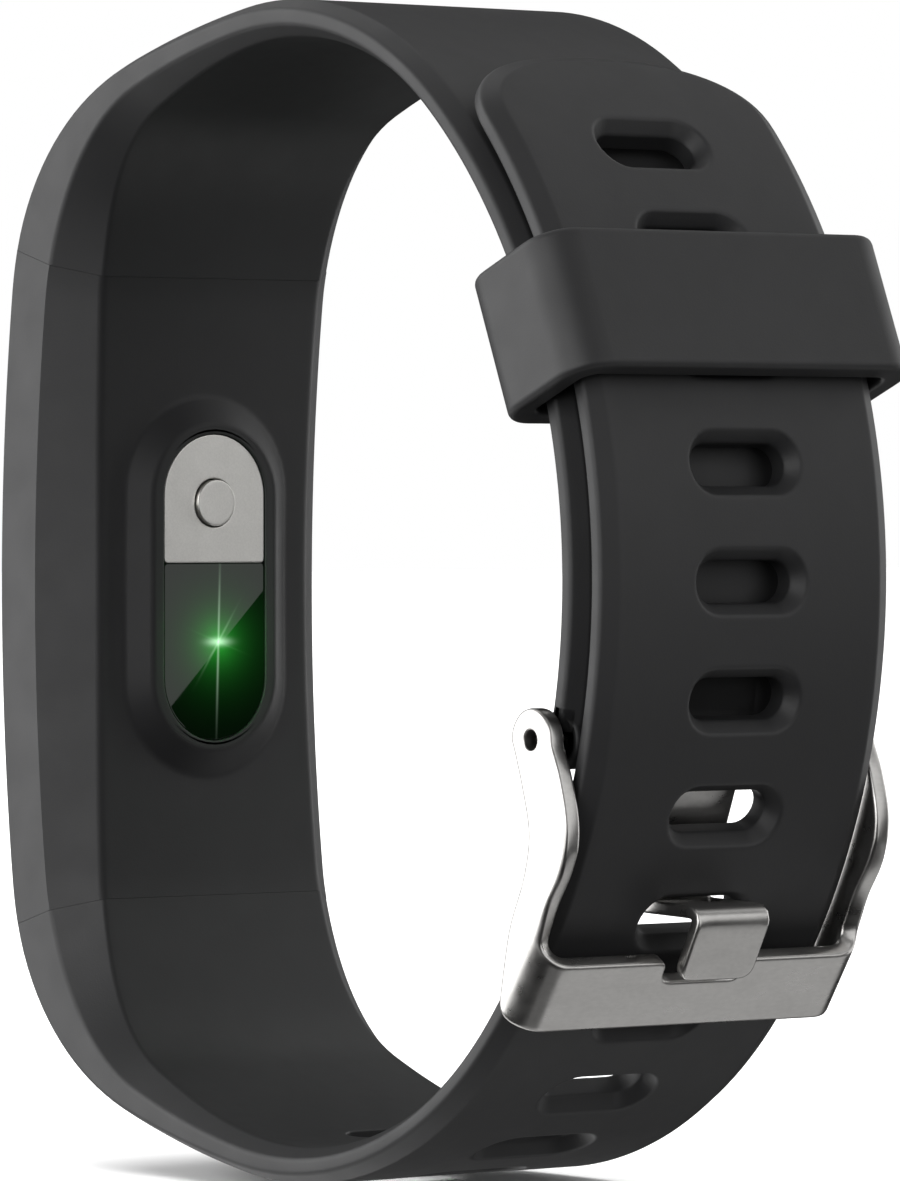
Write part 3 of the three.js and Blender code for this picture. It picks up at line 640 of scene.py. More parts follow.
def tail_end_rims(end, reach=5.6, roundness=2.35, steps=36):
    """Where the tail's rounded end starts, and the rim stations round it from the near side to the far one.
    The end is half a superellipse, reach long."""
    start = end - reach
    exponent = 2 / roundness
    points = [(start, -BAND_HALF)]
    for i in range(1, steps):
        angle = -math.pi / 2 + math.pi * i / steps
        y = BAND_HALF * math.copysign(abs(math.sin(angle)) ** exponent, math.sin(angle))
        points.append((start + reach * abs(math.cos(angle)) ** exponent, y))
    line = np.array([*points, (start, BAND_HALF)])
    rims = []
    for before, (s, y), after in zip(line, line[1:], line[2:]):
        along = unit(after - before)
        rims.append((s, y, -along[1], along[0], False))
    return start, rims


def local_box(name, path, s, across, n, along):
    """A plain box in the band's own directions at arc length s, used only to cut or to join."""
    point, normal, forward = path.frame(s)
    bm = bmesh.new()
    bmesh.ops.create_cube(bm, size=1.0)
    for v in bm.verts:
        height = n[0] if v.co.z < 0 else n[1]
        reach = along[0] if v.co.x < 0 else along[1]
        x, z = point + height * normal + reach * forward
        v.co = Vector((x, across[0] if v.co.y < 0 else across[1], z)) * MM
    bmesh.ops.recalc_face_normals(bm, faces=bm.faces[:])
    return add_mesh(name, bm)


def centred(half):
    """The range that reaches half to each side of nought."""
    return (-half, half)


def combine(obj, operation, *tools):
    """Cuts the tools from obj, or joins them to it, and removes them."""
    for tool in tools:
        modifier = obj.modifiers.new("combine", "BOOLEAN")
        modifier.operation = operation
        modifier.solver = "MANIFOLD"
        modifier.object = tool
        graph = bpy.context.evaluated_depsgraph_get()
        made = bpy.data.meshes.new_from_object(obj.evaluated_get(graph))
        obj.modifiers.clear()
        old, obj.data = obj.data, made
        bpy.data.meshes.remove(old)
        bpy.data.objects.remove(tool)
    return obj


def upper_strap():
    """The upper strap, ending in a rolled lug round the spring bar, with a slot for the tongue."""
    end = UPPER.length_at(UPPER_END_ANGLE)
    near, far = side_rims(spread(STRAP_START, end, 0.8)[1:-1])
    rims = near + square_end(end, 1, -1) + far + square_end(STRAP_START, -1, 1)
    strap = band_piece("upper_strap_rubber", UPPER, rims, band_profile, [], outer_face, inner_face)
    roll = [(-LUG_HALF, 0), (-LUG_HALF, LUG_RADIUS), (LUG_HALF, LUG_RADIUS), (LUG_HALF, 0)]
    lug = lathe("lug", soften(roll, (0.3, 0.3)), on_pivot, 64)
    core = [(-PAST_SIDES, 0), (-PAST_SIDES, LUG_BORE), (PAST_SIDES, LUG_BORE), (PAST_SIDES, 0)]
    bore = lathe("bore", core, on_pivot, 48)
    through = centred(CLEAR_AWAY)
    slot = local_box("slot", UPPER, end, centred(SLOT_HALF), through, (-SLOT_REACH, CLEAR_AWAY))
    edges = [sorted((side * STRAP_END_HALF, side * PAST_SIDES)) for side in (1, -1)]
    trims = [local_box("trim", UPPER, end, edge, through, (-STRAP_END_REACH, CLEAR_AWAY)) for edge in edges]
    combine(strap, "UNION", lug)
    return combine(strap, "DIFFERENCE", bore, slot, tenon_socket(UPPER), *trims)


def tenon_socket(path):
    """The space in a strap's end for the pod's tenon."""
    across = centred(TENON_HALF + SOCKET_PLAY)
    return local_box("socket", path, POD_END, across, SOCKET_HEIGHTS, SOCKET_REACH)


def lower_strap():
    """The holed lower strap, whose tail lies over the upper one."""
    end = LOWER.length_at(TAIL_TIP_ANGLE)
    start, tip = tail_end_rims(end)
    near, far = side_rims(spread(STRAP_START, start, 0.8)[1:])
    rims = near + tip + far + square_end(STRAP_START, -1, 1)
    outline = stadium(HOLE_HALF_LONG, HOLE_HALF_SHORT)
    first = LOWER.length_at(TONGUE_HOLE_ANGLE) - HOLES_BELOW * HOLE_PITCH
    holes = [(first + i * HOLE_PITCH, outline, flare_profile) for i in range(HOLE_COUNT)]
    strap = band_piece("lower_strap_rubber", LOWER, rims, band_profile, holes, outer_face, inner_face)
    return combine(strap, "DIFFERENCE", tenon_socket(LOWER))


def parting_face(s):
    """The height at which the pod's two shells meet."""
    return -law(s)[0] / 2


def shell_profile(s):
    """(inset, height) points of the front shell's edge, from its outer face to the parting face."""
    side, _, _, outer_depth, outer_width = law(s)
    top = side / 2
    corners = [
        (outer_width + 0.1, top + outer_depth),
        (outer_width, top + outer_depth),
        (0.0, top),
        (0.0, -top),
        (0.6, -top),
    ]
    return soften(corners, (0.05, 0.2, 0.03), 4)


def seat_profile(_):
    """(growth, height) points of the opening that the front lens sits in."""
    top, bottom = outer_face(0.0), parting_face(0.0)
    return soften([(0.1, top), (0.0, top), (0.0, bottom), (0.3, bottom)], (0.05, 0.1), 3)


def pod_rims():
    """Rim stations round the pod, from one square end to the other."""
    near, far = side_rims(spread(-POD_END, POD_END, 0.7)[1:-1])
    return near + square_end(POD_END, 1, -1) + far + square_end(-POD_END, -1, 1)


def front_shell():
    """The pod's outer half, open for the front lens."""
    seat = (0.0, rounded_rect(SEAT_HALF, SEAT_LONG, SEAT_CORNER), seat_profile)
    return band_piece("front_shell_casing", POD, pod_rims(), shell_profile, [seat], outer_face, parting_face)


def cover_profile(s):
    """(inset, height) points of the rear cover's edge, from the parting face to its inner face."""
    side, inner_depth, inner_width, _, _ = law(s)
    top = -side / 2 - 0.01
    corners = [
        (0.6, top),
        (0.0, top),
        (inner_width, top - inner_depth),
        (inner_width + 0.6, top - inner_depth),
    ]
    return soften(corners, (0.03, 0.35), 4)


def island_rings(shell):
    """Rings from the cover's inner face up the island's soft slope and down the window's wall."""
    # (half width, half length, share of the way from the cover to the island's top)
    steps = [(6.5, 12.2, 0.0), (5.8, 11.5, 0.0), (4.45, 9.95, 0.98), (4.3, 9.8, 1.0), (4.05, 9.4, 1.0)]
    cuts = (0.28, 0.22, 0.05)
    wide = soften([(half, share) for half, _, share in steps], cuts, 6)
    long = soften([(reach, share) for _, reach, share in steps], cuts, 6)
    loops = []
    for (half, share), (reach, _) in zip(wide, long):
        points, _ = stadium(reach, half, 20, 14)
        placed = []
        for z, y in points:
            x, _, height = POD.place(z, y, inner_face(z))
            placed.append((x + share * (ISLAND_X - x), y, height))
        loops.append((list(points), shell.ring(placed)))
    wall = soften([(0.25, ISLAND_X), (0.0, ISLAND_X), (0.0, WINDOW_FLOOR)], (0.1,), 4)
    for growth, x in wall:
        points, _ = stadium(WINDOW_LONG + growth, WINDOW_HALF + growth, 20, 14)
        loops.append((list(points), shell.ring([(x, y, z) for z, y in points])))
    shell.loft([ring for _, ring in loops])
    return loops[0], loops[-1]


def rear_cover():
    """The pod's inner half: chamfered, with a soft-edged island round a sunk window, and its two tenons."""
    shell = Shell()
    top, bottom = trace_rims(shell, POD, pod_rims(), cover_profile)
    island, floor = island_rings(shell)
    shell.fill([top], lambda s, y: POD.place(s, y, parting_face(s) - 0.01), (1.5, 2.0))
    shell.fill([bottom, island], lambda s, y: POD.place(s, y, inner_face(s)), (1.0, 1.1))
    shell.fill([floor], lambda z, y: (WINDOW_FLOOR, y, z), (1.0, 1.0))
    cover = shell.object("rear_cover_casing")
    for path in (UPPER, LOWER):
        tenon = local_box("tenon", path, POD_END, centred(TENON_HALF), TENON_HEIGHTS, TENON_REACH)
        combine(cover, "UNION", tenon)
    return cover


def front_lens():
    """The pod's curved glass, crowned across the band."""
    outline, normals = rounded_rect(LENS_LONG, LENS_HALF, LENS_CORNER, 8, 0.9)

    def place(s, y, part):
        """part runs from 0 at the lens's back to 1 at its crowned front."""
        crown = LENS_RIM + LENS_CROWN * (1 - (y / LENS_HALF) ** 2)
        return POD.place(s, y, law(s)[0] / 2 - LENS_DEPTH + part * (LENS_DEPTH + crown))

    edge = [(0.9, 1.0), (0.35, 1.0), (0.12, 0.93), (0.0, 0.72), (0.0, 0.0), (0.5, 0.0)]
    return plate("front_lens_glass", outline, normals, edge, place, (0.9, 0.8))


# ---------------------------------------------------------------- the sensor window


def window_outline(low, high, corner=0.25):
    """The part of the window's stadium between two heights, counter-clockwise in (z, y), with its outward
    normals. One end is round; the other is flat, with two small rounded corners."""
    points, _ = stadium(GLASS_LONG, GLASS_HALF, 24, 16)
    flat, direction = (low, 1) if high > GLASS_LONG else (high, -1)
    start = np.array((flat, -direction * GLASS_HALF))
    finish = np.array((flat, direction * GLASS_HALF))
    round_end = [p for p in points if low < p[0] < high and abs(p[0] - flat) > 1.5 * corner]
    round_end.sort(key=lambda p: math.atan2(direction * p[1], direction * (p[0] - flat)))
    first_corner = bezier(start + (direction * corner, 0), start, start + (0, direction * corner), 3)
    last_corner = bezier(finish - (0, direction * corner), finish, finish + (direction * corner, 0), 3)
    steps = np.linspace(0, 1, 9)[1:-1, None]
    straight = last_corner[0] + (first_corner[-1] - last_corner[0]) * steps
    loop = np.vstack([round_end, last_corner[::-1], straight, first_corner[::-1]])
    return loop, outline_normals(loop)


def facing_wrist(z, y, height):
    """Places a (z, y) point of the window's glass or plate."""
    return (GLASS_MIDDLE + height, y, z)


def sensor_glass():
    """The window's lower part: the dark glass over the sensor."""
    outline, normals = window_outline(-math.inf, GLASS_SPLIT)
    edge = rounded_edge(GLASS_THICK, 0.05)
    return plate("sensor_glass_window", outline, normals, edge, facing_wrist, (0.6, 0.6))


def electrode_plate():
    """The window's upper part: a steel plate with a round hole for the disc."""
    outline, normals = window_outline(GLASS_SPLIT + GLASS_GAP, math.inf)
    ring = circle(48)
    edge = rounded_edge(GLASS_THICK, 0.06)
    hole = (ring * DISC_HOLE + (DISC_Z, 0.0), ring, edge)
    return plate("electrode_plate_steel", outline, normals, edge, facing_wrist, (0.6, 0.6), [hole])


def electrode_disc():
    """The steel disc in the plate. A ring of points near its rim keeps its face flat in the light."""
    corners = [(GLASS_BACK, 0.0), (GLASS_BACK, DISC_RADIUS), (DISC_FRONT, DISC_RADIUS), (DISC_FRONT, 0.0)]
    rim = soften(corners, (0.05, 0.08), 4)
    profile = np.insert(rim, len(rim) - 1, (DISC_FRONT, 0.85 * DISC_RADIUS), axis=0)
    return lathe("electrode_disc_steel", profile, facing_x(DISC_Z), 64)


# ---------------------------------------------------------------- the keeper


def keeper():
    """A rounded rectangular loop: its wall's rounded section is carried round the outline."""
    middle = (KEEPER_RADII[0] + KEEPER_RADII[1]) / 2
    depth = (KEEPER_RADII[1] - KEEPER_RADII[0]) / 2
    outline, normals = rounded_rect(depth, KEEPER_HALF, KEEPER_CORNER, 12, 0.8)
    half = KEEPER_LENGTH / 2
    wall = KEEPER_WALL
    corners = [(0.0, 0.0), (0.0, half), (wall, half), (wall, -half), (0.0, -half), (0.0, 0.0)]
    section = soften(corners, (0.4, 0.3, 0.3, 0.4), 5)[:-1]
    angle = math.radians(KEEPER_ANGLE)
    outward = np.array((math.cos(angle), math.sin(angle)))
    along = np.array((-math.sin(angle), math.cos(angle)))
    shell = Shell()
    rings = []
    for inset, height in section:
        ring = []
        for radial, y in outline - inset * normals:
            x, z = OVERLAP + (middle + radial) * outward + height * along
            ring.append((x, y, z))
        rings.append(shell.ring(ring))
    shell.loft(rings, closed=True)
    return shell.object("keeper_rubber")


# ---------------------------------------------------------------- the buckle


def catmull(points, steps=8):
    """A smooth line through the points."""
    points = [np.asarray(p, float) for p in points]
    ends = [2 * points[0] - points[1]] + points + [2 * points[-1] - points[-2]]
    line = []
    for a, b, c, d in zip(ends, ends[1:], ends[2:], ends[3:]):
        for i in range(steps):
            t = i / steps
            bend = (2 * a - 5 * b + 4 * c - d) * t**2 + (3 * b - a - 3 * c + d) * t**3
            line.append(0.5 * (2 * b + (c - a) * t + bend))
    return line + [points[-1]]


class BentSheet:
    """The frame's steel sheet: a bar across the band whose ends bend back into two arms. A flat point (q, b)
    is the distance from the bar's middle and the distance down from its top edge."""

    def __init__(self):
        tilt = math.radians(BAR_TILT)
        self.down = np.array((-math.sin(tilt), -math.cos(tilt)))
        self.out = np.array((math.cos(tilt), -math.sin(tilt)))
        self.middle_radius = BEND_RADIUS - FRAME_THICK / 2
        self.straight = FRAME_OUTER - BEND_RADIUS
        self.arm_start = self.straight + math.pi / 2 * self.middle_radius

    def flat(self, x, z):
        """The flat point of a point of the arm's outer face."""
        offset = np.array((x, z)) - BAR_CORNER
        inward, b = -offset @ self.out, offset @ self.down
        if inward >= BEND_RADIUS:
            return np.array((self.arm_start + inward - BEND_RADIUS, b))
        angle = math.acos(min(1.0, (BEND_RADIUS - inward) / BEND_RADIUS))
        return np.array((self.straight + angle * self.middle_radius, b))

    def place(self, q, b, height):
        """The point over a flat point, height out from the sheet's middle."""
        side = -1 if q < 0 else 1
        q = abs(q)
        if q <= self.straight:
            y, inward = q, FRAME_THICK / 2 - height
        elif q <= self.arm_start:
            angle = (q - self.straight) / self.middle_radius
            radius = self.middle_radius + height
            y = self.straight + radius * math.sin(angle)
            inward = BEND_RADIUS - radius * math.cos(angle)
        else:
            y, inward = FRAME_OUTER - FRAME_THICK / 2 + height, BEND_RADIUS + q - self.arm_start
        x, z = BAR_CORNER + b * self.down - inward * self.out
        return (x, side * y, z)


def resample(points, step):
    """The same line with its points about step apart."""
    points = np.array(points)
    lengths = np.concatenate([[0], np.cumsum(np.linalg.norm(np.diff(points, axis=0), axis=1))])
    count = max(2, round(lengths[-1] / step))
    at = np.linspace(0, lengths[-1], count + 1)
    return np.stack([np.interp(at, lengths, points[:, i]) for i in (0, 1)], 1)


def frame_half_outline(sheet):
    """Half the sheet's outline, from the middle of the notch to the middle of the bar's lower edge."""
    turns = np.linspace(-0.1, math.pi + 0.05, 25)
    ear = [PIVOT + EAR_RADIUS * np.array((math.cos(a), math.sin(a))) for a in turns]
    front = [PIVOT + p for p in ARM_FRONT]
    back = [PIVOT + p for p in ARM_BACK]
    arm = catmull(front, 6)[:-1] + ear + catmull(back, 6)[1:]
    arm = [sheet.flat(x, z) for x, z in arm]
    toe = np.array((sheet.arm_start + TOE_REACH - BEND_RADIUS, BAR_HEIGHT))
    notch = soften([(0, NOTCH_DEPTH), (NOTCH_HALF, NOTCH_DEPTH), (NOTCH_HALF, 0), (8.0, 0)], (0.7, 0.55), 6)
    corner = bezier((8.9, 0), (10.9, 0.0), arm[0], 10)
    lower = soften([arm[-1], toe, (0, BAR_HEIGHT)], (0.8,), 6)
    line = list(notch) + list(corner) + arm[1:] + list(lower)[1:]
    return resample(line, 0.22)


def buckle_frame():
    """The buckle's frame, with a hole in each ear for the spring bar's tip."""
    sheet = BentSheet()
    half = frame_half_outline(sheet)
    other = half[1:-1][::-1] * (-1, 1)
    outline = np.vstack([half, other])
    normals = outline_normals(outline)
    if outline_area(outline) < 0:
        normals = -normals
    ring = circle(32)
    q, b = sheet.flat(*PIVOT)
    rim = rounded_edge(FRAME_THICK, 0.1)
    holes = [(ring * EAR_HOLE + (side * q, b), ring, rim) for side in (1, -1)]
    edge = rounded_edge(FRAME_THICK, 0.22)
    return plate("buckle_frame_steel", outline, normals, edge, sheet.place, (0.19, 0.45), holes)


def outline_area(points):
    """The area inside a closed outline, negative where it runs clockwise."""
    nxt = np.roll(points, -1, 0)
    return float(np.sum(points[:, 0] * nxt[:, 1] - points[:, 1] * nxt[:, 0])) / 2


class Ribbon:
    """A line in the X-Z plane that a flat strip (length along it, y) is bent to."""

    def __init__(self, points):
        self.points = np.array(points)
        steps = np.linalg.norm(np.diff(self.points, axis=0), axis=1)
        self.lengths = np.concatenate([[0], np.cumsum(steps)])
        along = np.gradient(self.points, axis=0)
        along /= np.linalg.norm(along, axis=1)[:, None]
        self.normals = np.stack((-along[:, 1], along[:, 0]), 1)

    def place(self, u, y, height):
        """The point u along the line and y across it, height out from it."""
        point = [np.interp(u, self.lengths, self.points[:, i]) for i in (0, 1)]
        normal = unit(np.array([np.interp(u, self.lengths, self.normals[:, i]) for i in (0, 1)]))
        return (point[0] + height * normal[0], y, point[1] + height * normal[1])


def buckle_tongue():
    """A flat strip rolled round the spring bar, led out through the tail's hole and bent down to the bar."""
    reach = (TONGUE_EYE + LUG_BORE) / 2
    first = TONGUE_BENDS[0]
    lean = math.atan2(first[0] - PIVOT[0] - reach, PIVOT[1] - first[1])
    turns = np.linspace(lean + math.radians(282), lean, 60)
    roll = [PIVOT + reach * np.array((math.cos(a), math.sin(a))) for a in turns]
    strip = soften([roll[-1], *TONGUE_BENDS], (1.0, 1.0), 12)
    dense = resample(np.vstack([roll[:-1], strip]), 0.12)
    ribbon = Ribbon(dense)
    length = ribbon.lengths[-1]
    half, corner = TONGUE_HALF, 1.1
    tip = [(length - corner, -half), (length, -half), (length, half), (length - corner, half)]
    end = soften(tip, (0.95, 0.95), 8)
    near = resample([(0, -half), (length - corner, -half)], 0.3)
    far = resample([(length - corner, half), (0, half)], 0.3)
    back = resample([(0, half), (0, -half)], 0.4)
    outline = np.vstack([near[:-1], end[:-1], far[:-1], back[:-1]])
    normals = outline_normals(outline)
    edge = rounded_edge(TONGUE_THICK, 0.16)
    return plate("buckle_tongue_steel", outline, normals, edge, ribbon.place, (0.16, 0.5))


# ---------------------------------------------------------------- the spring bar


def bar_tube():
    """The spring bar's tube, narrowed at both ends to hold the tips' collars."""
    half = BAR_HALF
    section = [
        (-half, BAR_LIP_BORE),
        (-half, BAR_RADIUS - BAR_CHAMFER),
        (-half + BAR_CHAMFER, BAR_RADIUS),
        (half - BAR_CHAMFER, BAR_RADIUS),
        (half, BAR_RADIUS - BAR_CHAMFER),
        (half, BAR_LIP_BORE),
        (half - BAR_LIP, BAR_LIP_BORE),
        (half - BAR_LIP, BAR_BORE),
        (-half + BAR_LIP, BAR_BORE),
        (-half + BAR_LIP, BAR_LIP_BORE),
    ]
    return lathe("spring_bar_tube_steel", section, on_pivot, 48, closed=True)


def bar_tip(name, side):
    """A tip of the spring bar: a pin with a collar inside the tube."""
    section = [
        (TIP_COLLAR[0], 0.0),
        (TIP_COLLAR[0], TIP_COLLAR_RADIUS),
        (TIP_COLLAR[1], TIP_COLLAR_RADIUS),
        (TIP_COLLAR[1], TIP_RADIUS),
        (TIP_END - TIP_CHAMFER, TIP_RADIUS),
        (TIP_END, TIP_RADIUS - TIP_CHAMFER),
        (TIP_END, 0.0),
    ]
    return lathe(name, [(side * y, r) for y, r in section], on_pivot, 32)


def bar_spring(name, side):
    """A coil of round wire along the spring bar."""
    shell = Shell()
    count = SPRING_TURNS * 20
    wire = SPRING_WIRE * circle(8)
    rings = []
    for i in range(count + 1):
        t = i / count
        angle = 2 * math.pi * SPRING_TURNS * t
        y = side * (SPRING_SPAN[0] + (SPRING_SPAN[1] - SPRING_SPAN[0]) * t)
        outward = np.array((math.cos(angle), math.sin(angle)))
        ring = []
        for out, along in wire:
            x, z = PIVOT + (SPRING_RADIUS + out) * outward
            ring.append((x, y + along, z))
        rings.append(shell.ring(ring))
    shell.loft(rings)
    shell.faces += [tuple(rings[0]), tuple(rings[-1])]
    return shell.object(name)


# ---------------------------------------------------------------- materials


class Paint:
    """A procedural material under construction."""

    def __init__(self, name):
        self.material = bpy.data.materials.new(name)
        self.material.use_nodes = True
        self.nodes = self.material.node_tree.nodes
        self.links = self.material.node_tree.links
        self.shader = self.nodes["Principled BSDF"]
        self.place = self.nodes.new("ShaderNodeTexCoord").outputs["Object"]

    def fill(self, node, inputs):
        """Gives a node's inputs their values, or links them to other nodes' outputs."""
        for key, value in inputs.items():
            if isinstance(value, bpy.types.NodeSocket):
                self.links.new(value, node.inputs[key])
            else:
                node.inputs[key].default_value = value

    def node(self, kind, inputs, **settings):
        """A new node with its settings, and its inputs as in fill."""
        node = self.nodes.new("ShaderNode" + kind)
        for key, value in settings.items():
            setattr(node, key, value)
        self.fill(node, inputs)
        return node

    def set(self, **inputs):
        """Sets or links inputs of the shader, written with _ for a space."""
        self.fill(self.shader, {key.replace("_", " "): value for key, value in inputs.items()})

    def noise(self, scale, detail=4.0, stretch=(1.0, 1.0, 1.0), rough=0.55):
        """A noise of about 1 / scale metres, drawn out along the axes where stretch is small."""
        mapping = self.node("Mapping", {"Vector": self.place, "Scale": stretch})
        inputs = {"Vector": mapping.outputs["Vector"], "Scale": scale, "Detail": detail, "Roughness": rough}
        return self.node("TexNoise", inputs).outputs["Fac"]

    def ramp(self, value, low, high, start=0.3, end=0.7):
        """The value carried over from the range start to end to the range low to high."""
        inputs = {"Value": value, "From Min": start, "From Max": end, "To Min": low, "To Max": high}
        return self.node("MapRange", inputs).outputs["Result"]

    def colours(self, value, dark, light, start=0.3, end=0.7):
        """A base colour that runs from dark to light with the value."""
        node = self.node("ValToRGB", {"Fac": value})
        for stop, position, colour in zip(node.color_ramp.elements, (start, end), (dark, light)):
            stop.position = position
            stop.color = (*colour, 1.0)
        self.set(Base_Color=node.outputs["Color"])

    def bump(self, value, strength, distance, **under):
        """A normal that is raised and lowered by the value, over the one given as Normal."""
        inputs = {"Height": value, "Strength": strength, "Distance": distance, **under}
        return self.node("Bump", inputs).outputs["Normal"]

    def flare(self, centre, width, length, turn, halo):
        """A painted spot of light round a (y, z) point, all in millimetres: 1 at its middle, and less over its
        width and length. A painted halo dies away from a peak, and a painted ray from a rounded top."""
        inputs = {
            "Vector": self.place,
            "Location": (0, centre[0] * MM, centre[1] * MM),
            "Rotation": (math.radians(turn), 0, 0),
            "Scale": (1e6, width * MM, length * MM),
        }
        spot = self.node("Mapping", inputs, vector_type="TEXTURE").outputs["Vector"]
        if halo:
            reach = self.node("VectorMath", {0: spot}, operation="LENGTH")
        else:
            reach = self.node("VectorMath", {0: spot, 1: spot}, operation="DOT_PRODUCT")
        negative = self.node("Math", {0: reach.outputs["Value"], 1: -1.0}, operation="MULTIPLY")
        return self.node("Math", {0: negative.outputs["Value"]}, operation="EXPONENT").outputs["Value"]

    def scaled(self, colour, value):
        """A colour as strong as the value."""
        return self.node("VectorMath", {0: colour, "Scale": value}, operation="SCALE").outputs["Vector"]

    def added(self, a, b):
        """The sum of two colours."""
        return self.node("VectorMath", {0: a, 1: b}, operation="ADD").outputs["Vector"]


def rubber(name, tint):
    """Soft-touch black rubber: a fine spark-eroded grain with faint handling marks."""
    paint = Paint(name)
    paint.colours(paint.noise(170, 3.0), *shades(tint, 0.06))
    paint.set(Roughness=paint.ramp(paint.noise(420, 5.0), 0.5, 0.56))
    grain = paint.bump(paint.noise(9000, 3.0), 0.3, 0.00002)
    paint.set(Normal=paint.bump(paint.noise(1500, 2.0), 0.05, 0.00004, Normal=grain))
    return paint.material


def shades(tint, change):
    """A darker and a lighter version of a colour."""
    return tuple(c * (1 - change) for c in tint), tuple(min(1.0, c * (1 + change)) for c in tint)


def steel(name, tint, rough, stretch, brush=0.1, scale=5200):
    """Satin steel, brushed the way that stretch is smallest."""
    paint = Paint(name)
    streaks = paint.noise(scale, 2.0, stretch, 0.5)
    paint.colours(streaks, *shades(tint, 0.04))
    paint.set(Roughness=paint.ramp(paint.noise(900, 4.0, stretch), rough - 0.04, rough + 0.05))
    paint.set(Normal=paint.bump(streaks, brush, 0.000006), Metallic=1.0)
    return paint.material


def gloss_black(name, tint, rough=0.02, smear=0.03):
    """Black glass with a trace of smear in its gloss, as paint that can take more."""
    paint = Paint(name)
    paint.colours(paint.noise(90, 4.0), *shades(tint, 0.3))
    paint.set(Roughness=paint.ramp(paint.noise(150, 5.0), rough, rough + smear))
    return paint


def moulded(name, tint, rough=0.45):
    """Plain moulded plastic or resist, for parts inside the pod."""
    paint = Paint(name)
    paint.colours(paint.noise(600, 4.0), *shades(tint, 0.2))
    paint.set(Roughness=paint.ramp(paint.noise(1200, 3.0), rough - 0.08, rough + 0.1))
    paint.set(Normal=paint.bump(paint.noise(5000, 2.0), 0.2, 0.00002))
    return paint.material


def glass_with_painted_glow(name):
    """Black glass with the green light behind it painted on as emission: a painted bright bar, a painted halo
    that dies away and painted thin rays.
    """
    paint = gloss_black(name, (0.003, 0.004, 0.0035), 0.0, 0.012)
    parts = (
        # painted bar, halo and rays: strength, colour, width, length, turn in degrees, and whether it is a
        # halo
        (0.62, (0.75, 1.0, 0.8), 0.72, 0.22, 0, False),
        (0.36, (0.06, 1.0, 0.08), 0.75, 0.75, 0, True),
        (0.05, (0.1, 1.0, 0.12), 1.9, 1.9, 0, True),
        (0.3, (0.7, 1.0, 0.72), 0.07, 3.3, -1.5, False),
        (0.18, (0.6, 1.0, 0.62), 0.07, 1.5, -33, False),
        (0.06, (0.3, 1.0, 0.32), 1.3, 0.06, -20, False),
    )
    total = None
    for strength, colour, width, length, turn, halo in parts:
        term = paint.scaled(tuple(strength * c for c in colour), paint.flare(LED, width, length, turn, halo))
        total = term if total is None else paint.added(total, term)
    # the glass's emission is painted light: the green light's glow with its painted halo and rays
    paint.set(Emission_Color=total, Emission_Strength=1.0)
    return paint.material


# ---------------------------------------------------------------- assembly


def mark_sharp(obj, degrees=60):
    """Smooth shading, but not over edges that turn by more than so many degrees."""
    bm = bmesh.new()
    bm.from_mesh(obj.data)
    limit = math.radians(degrees)
    for face in bm.faces:
        face.smooth = True
    for edge in bm.edges:
        edge.smooth = len(edge.link_faces) != 2 or edge.calc_face_angle(0.0) < limit
    bm.to_mesh(obj.data)
    bm.free()


def dress(obj, body, material, slot, *nodes):
    """Shades a piece, rides it on its body and says which CAD nodes it stands for."""
    mark_sharp(obj)
    modifier = obj.modifiers.new("shading", "WEIGHTED_NORMAL")
    modifier.keep_sharp = True
    obj.data.materials.clear()
    obj.data.materials.append(material)
    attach(obj, body)
    if nodes:
        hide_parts(*nodes)
    return obj


def keep_node(node, material):
    """A hidden CAD node keeps its shape and gets a better material."""
    mesh = frame["nodes"][node].data
    mesh.materials.clear()
    mesh.materials.append(material)


black_rubber = rubber("strap_rubber", (0.021, 0.021, 0.022))
casing = rubber("pod_casing", (0.019, 0.019, 0.020))
frame_steel = steel("frame_satin_steel", (0.56, 0.55, 0.535), 0.3, (1.0, 0.4, 1.0))
tongue_steel = steel("tongue_satin_steel", (0.56, 0.55, 0.535), 0.3, (1.0, 0.5, 1.0))
plate_steel = steel("window_satin_steel", (0.74, 0.73, 0.70), 0.34, (1.0, 1.0, 1.0), 0.35, 9000)
bar_steel = steel("bar_steel", (0.5, 0.5, 0.49), 0.25, (1.0, 0.1, 1.0))
tip_steel = steel("blackened_tip_steel", (0.02, 0.02, 0.02), 0.5, (1.0, 0.1, 1.0))
lens_glass = gloss_black("front_glass", (0.006, 0.006, 0.007)).material
# the sensor glass carries a painted glow of the green light, with a painted halo and rays
window_glass_painted_glow = glass_with_painted_glow("window_glass_painted_glow")

dress(upper_strap(), "band", black_rubber, "strap", "upper_strap")
dress(lower_strap(), "band", black_rubber, "strap", "lower_strap")
dress(front_shell(), "band", casing, "casing", "front_shell")
dress(rear_cover(), "band", casing, "casing", "rear_cover")
dress(front_lens(), "band", lens_glass, "dark_glass", "front_lens")
dress(sensor_glass(), "band", window_glass_painted_glow, "dark_glass", "sensor_glass")
dress(electrode_plate(), "band", plate_steel, "window_plate", "electrode_plate")
dress(electrode_disc(), "band", plate_steel, "window_plate", "electrode_disc")
dress(keeper(), "keeper", black_rubber, "strap", "keeper")
dress(buckle_frame(), "frame", frame_steel, "buckle_steel", "buckle_frame")
dress(buckle_tongue(), "tongue", tongue_steel, "buckle_steel", "buckle_tongue")
dress(bar_tube(), "spring_bar", bar_steel, "buckle_steel", "spring_bar_tube")
for side, word in ((-1, "left"), (1, "right")):
    tip = bar_tip(f"spring_bar_tip_{word}_steel", side)
    dress(tip, f"bar_tip_{word}", tip_steel, "buckle_steel", f"spring_bar_tip_{word}")
    coil = bar_spring(f"spring_bar_coil_{word}", side)
    dress(coil, "spring_bar", bar_steel, "buckle_steel", f"spring_bar_spring_{word}")
    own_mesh(coil)

# ---------------------------------------------------------------- hidden CAD nodes

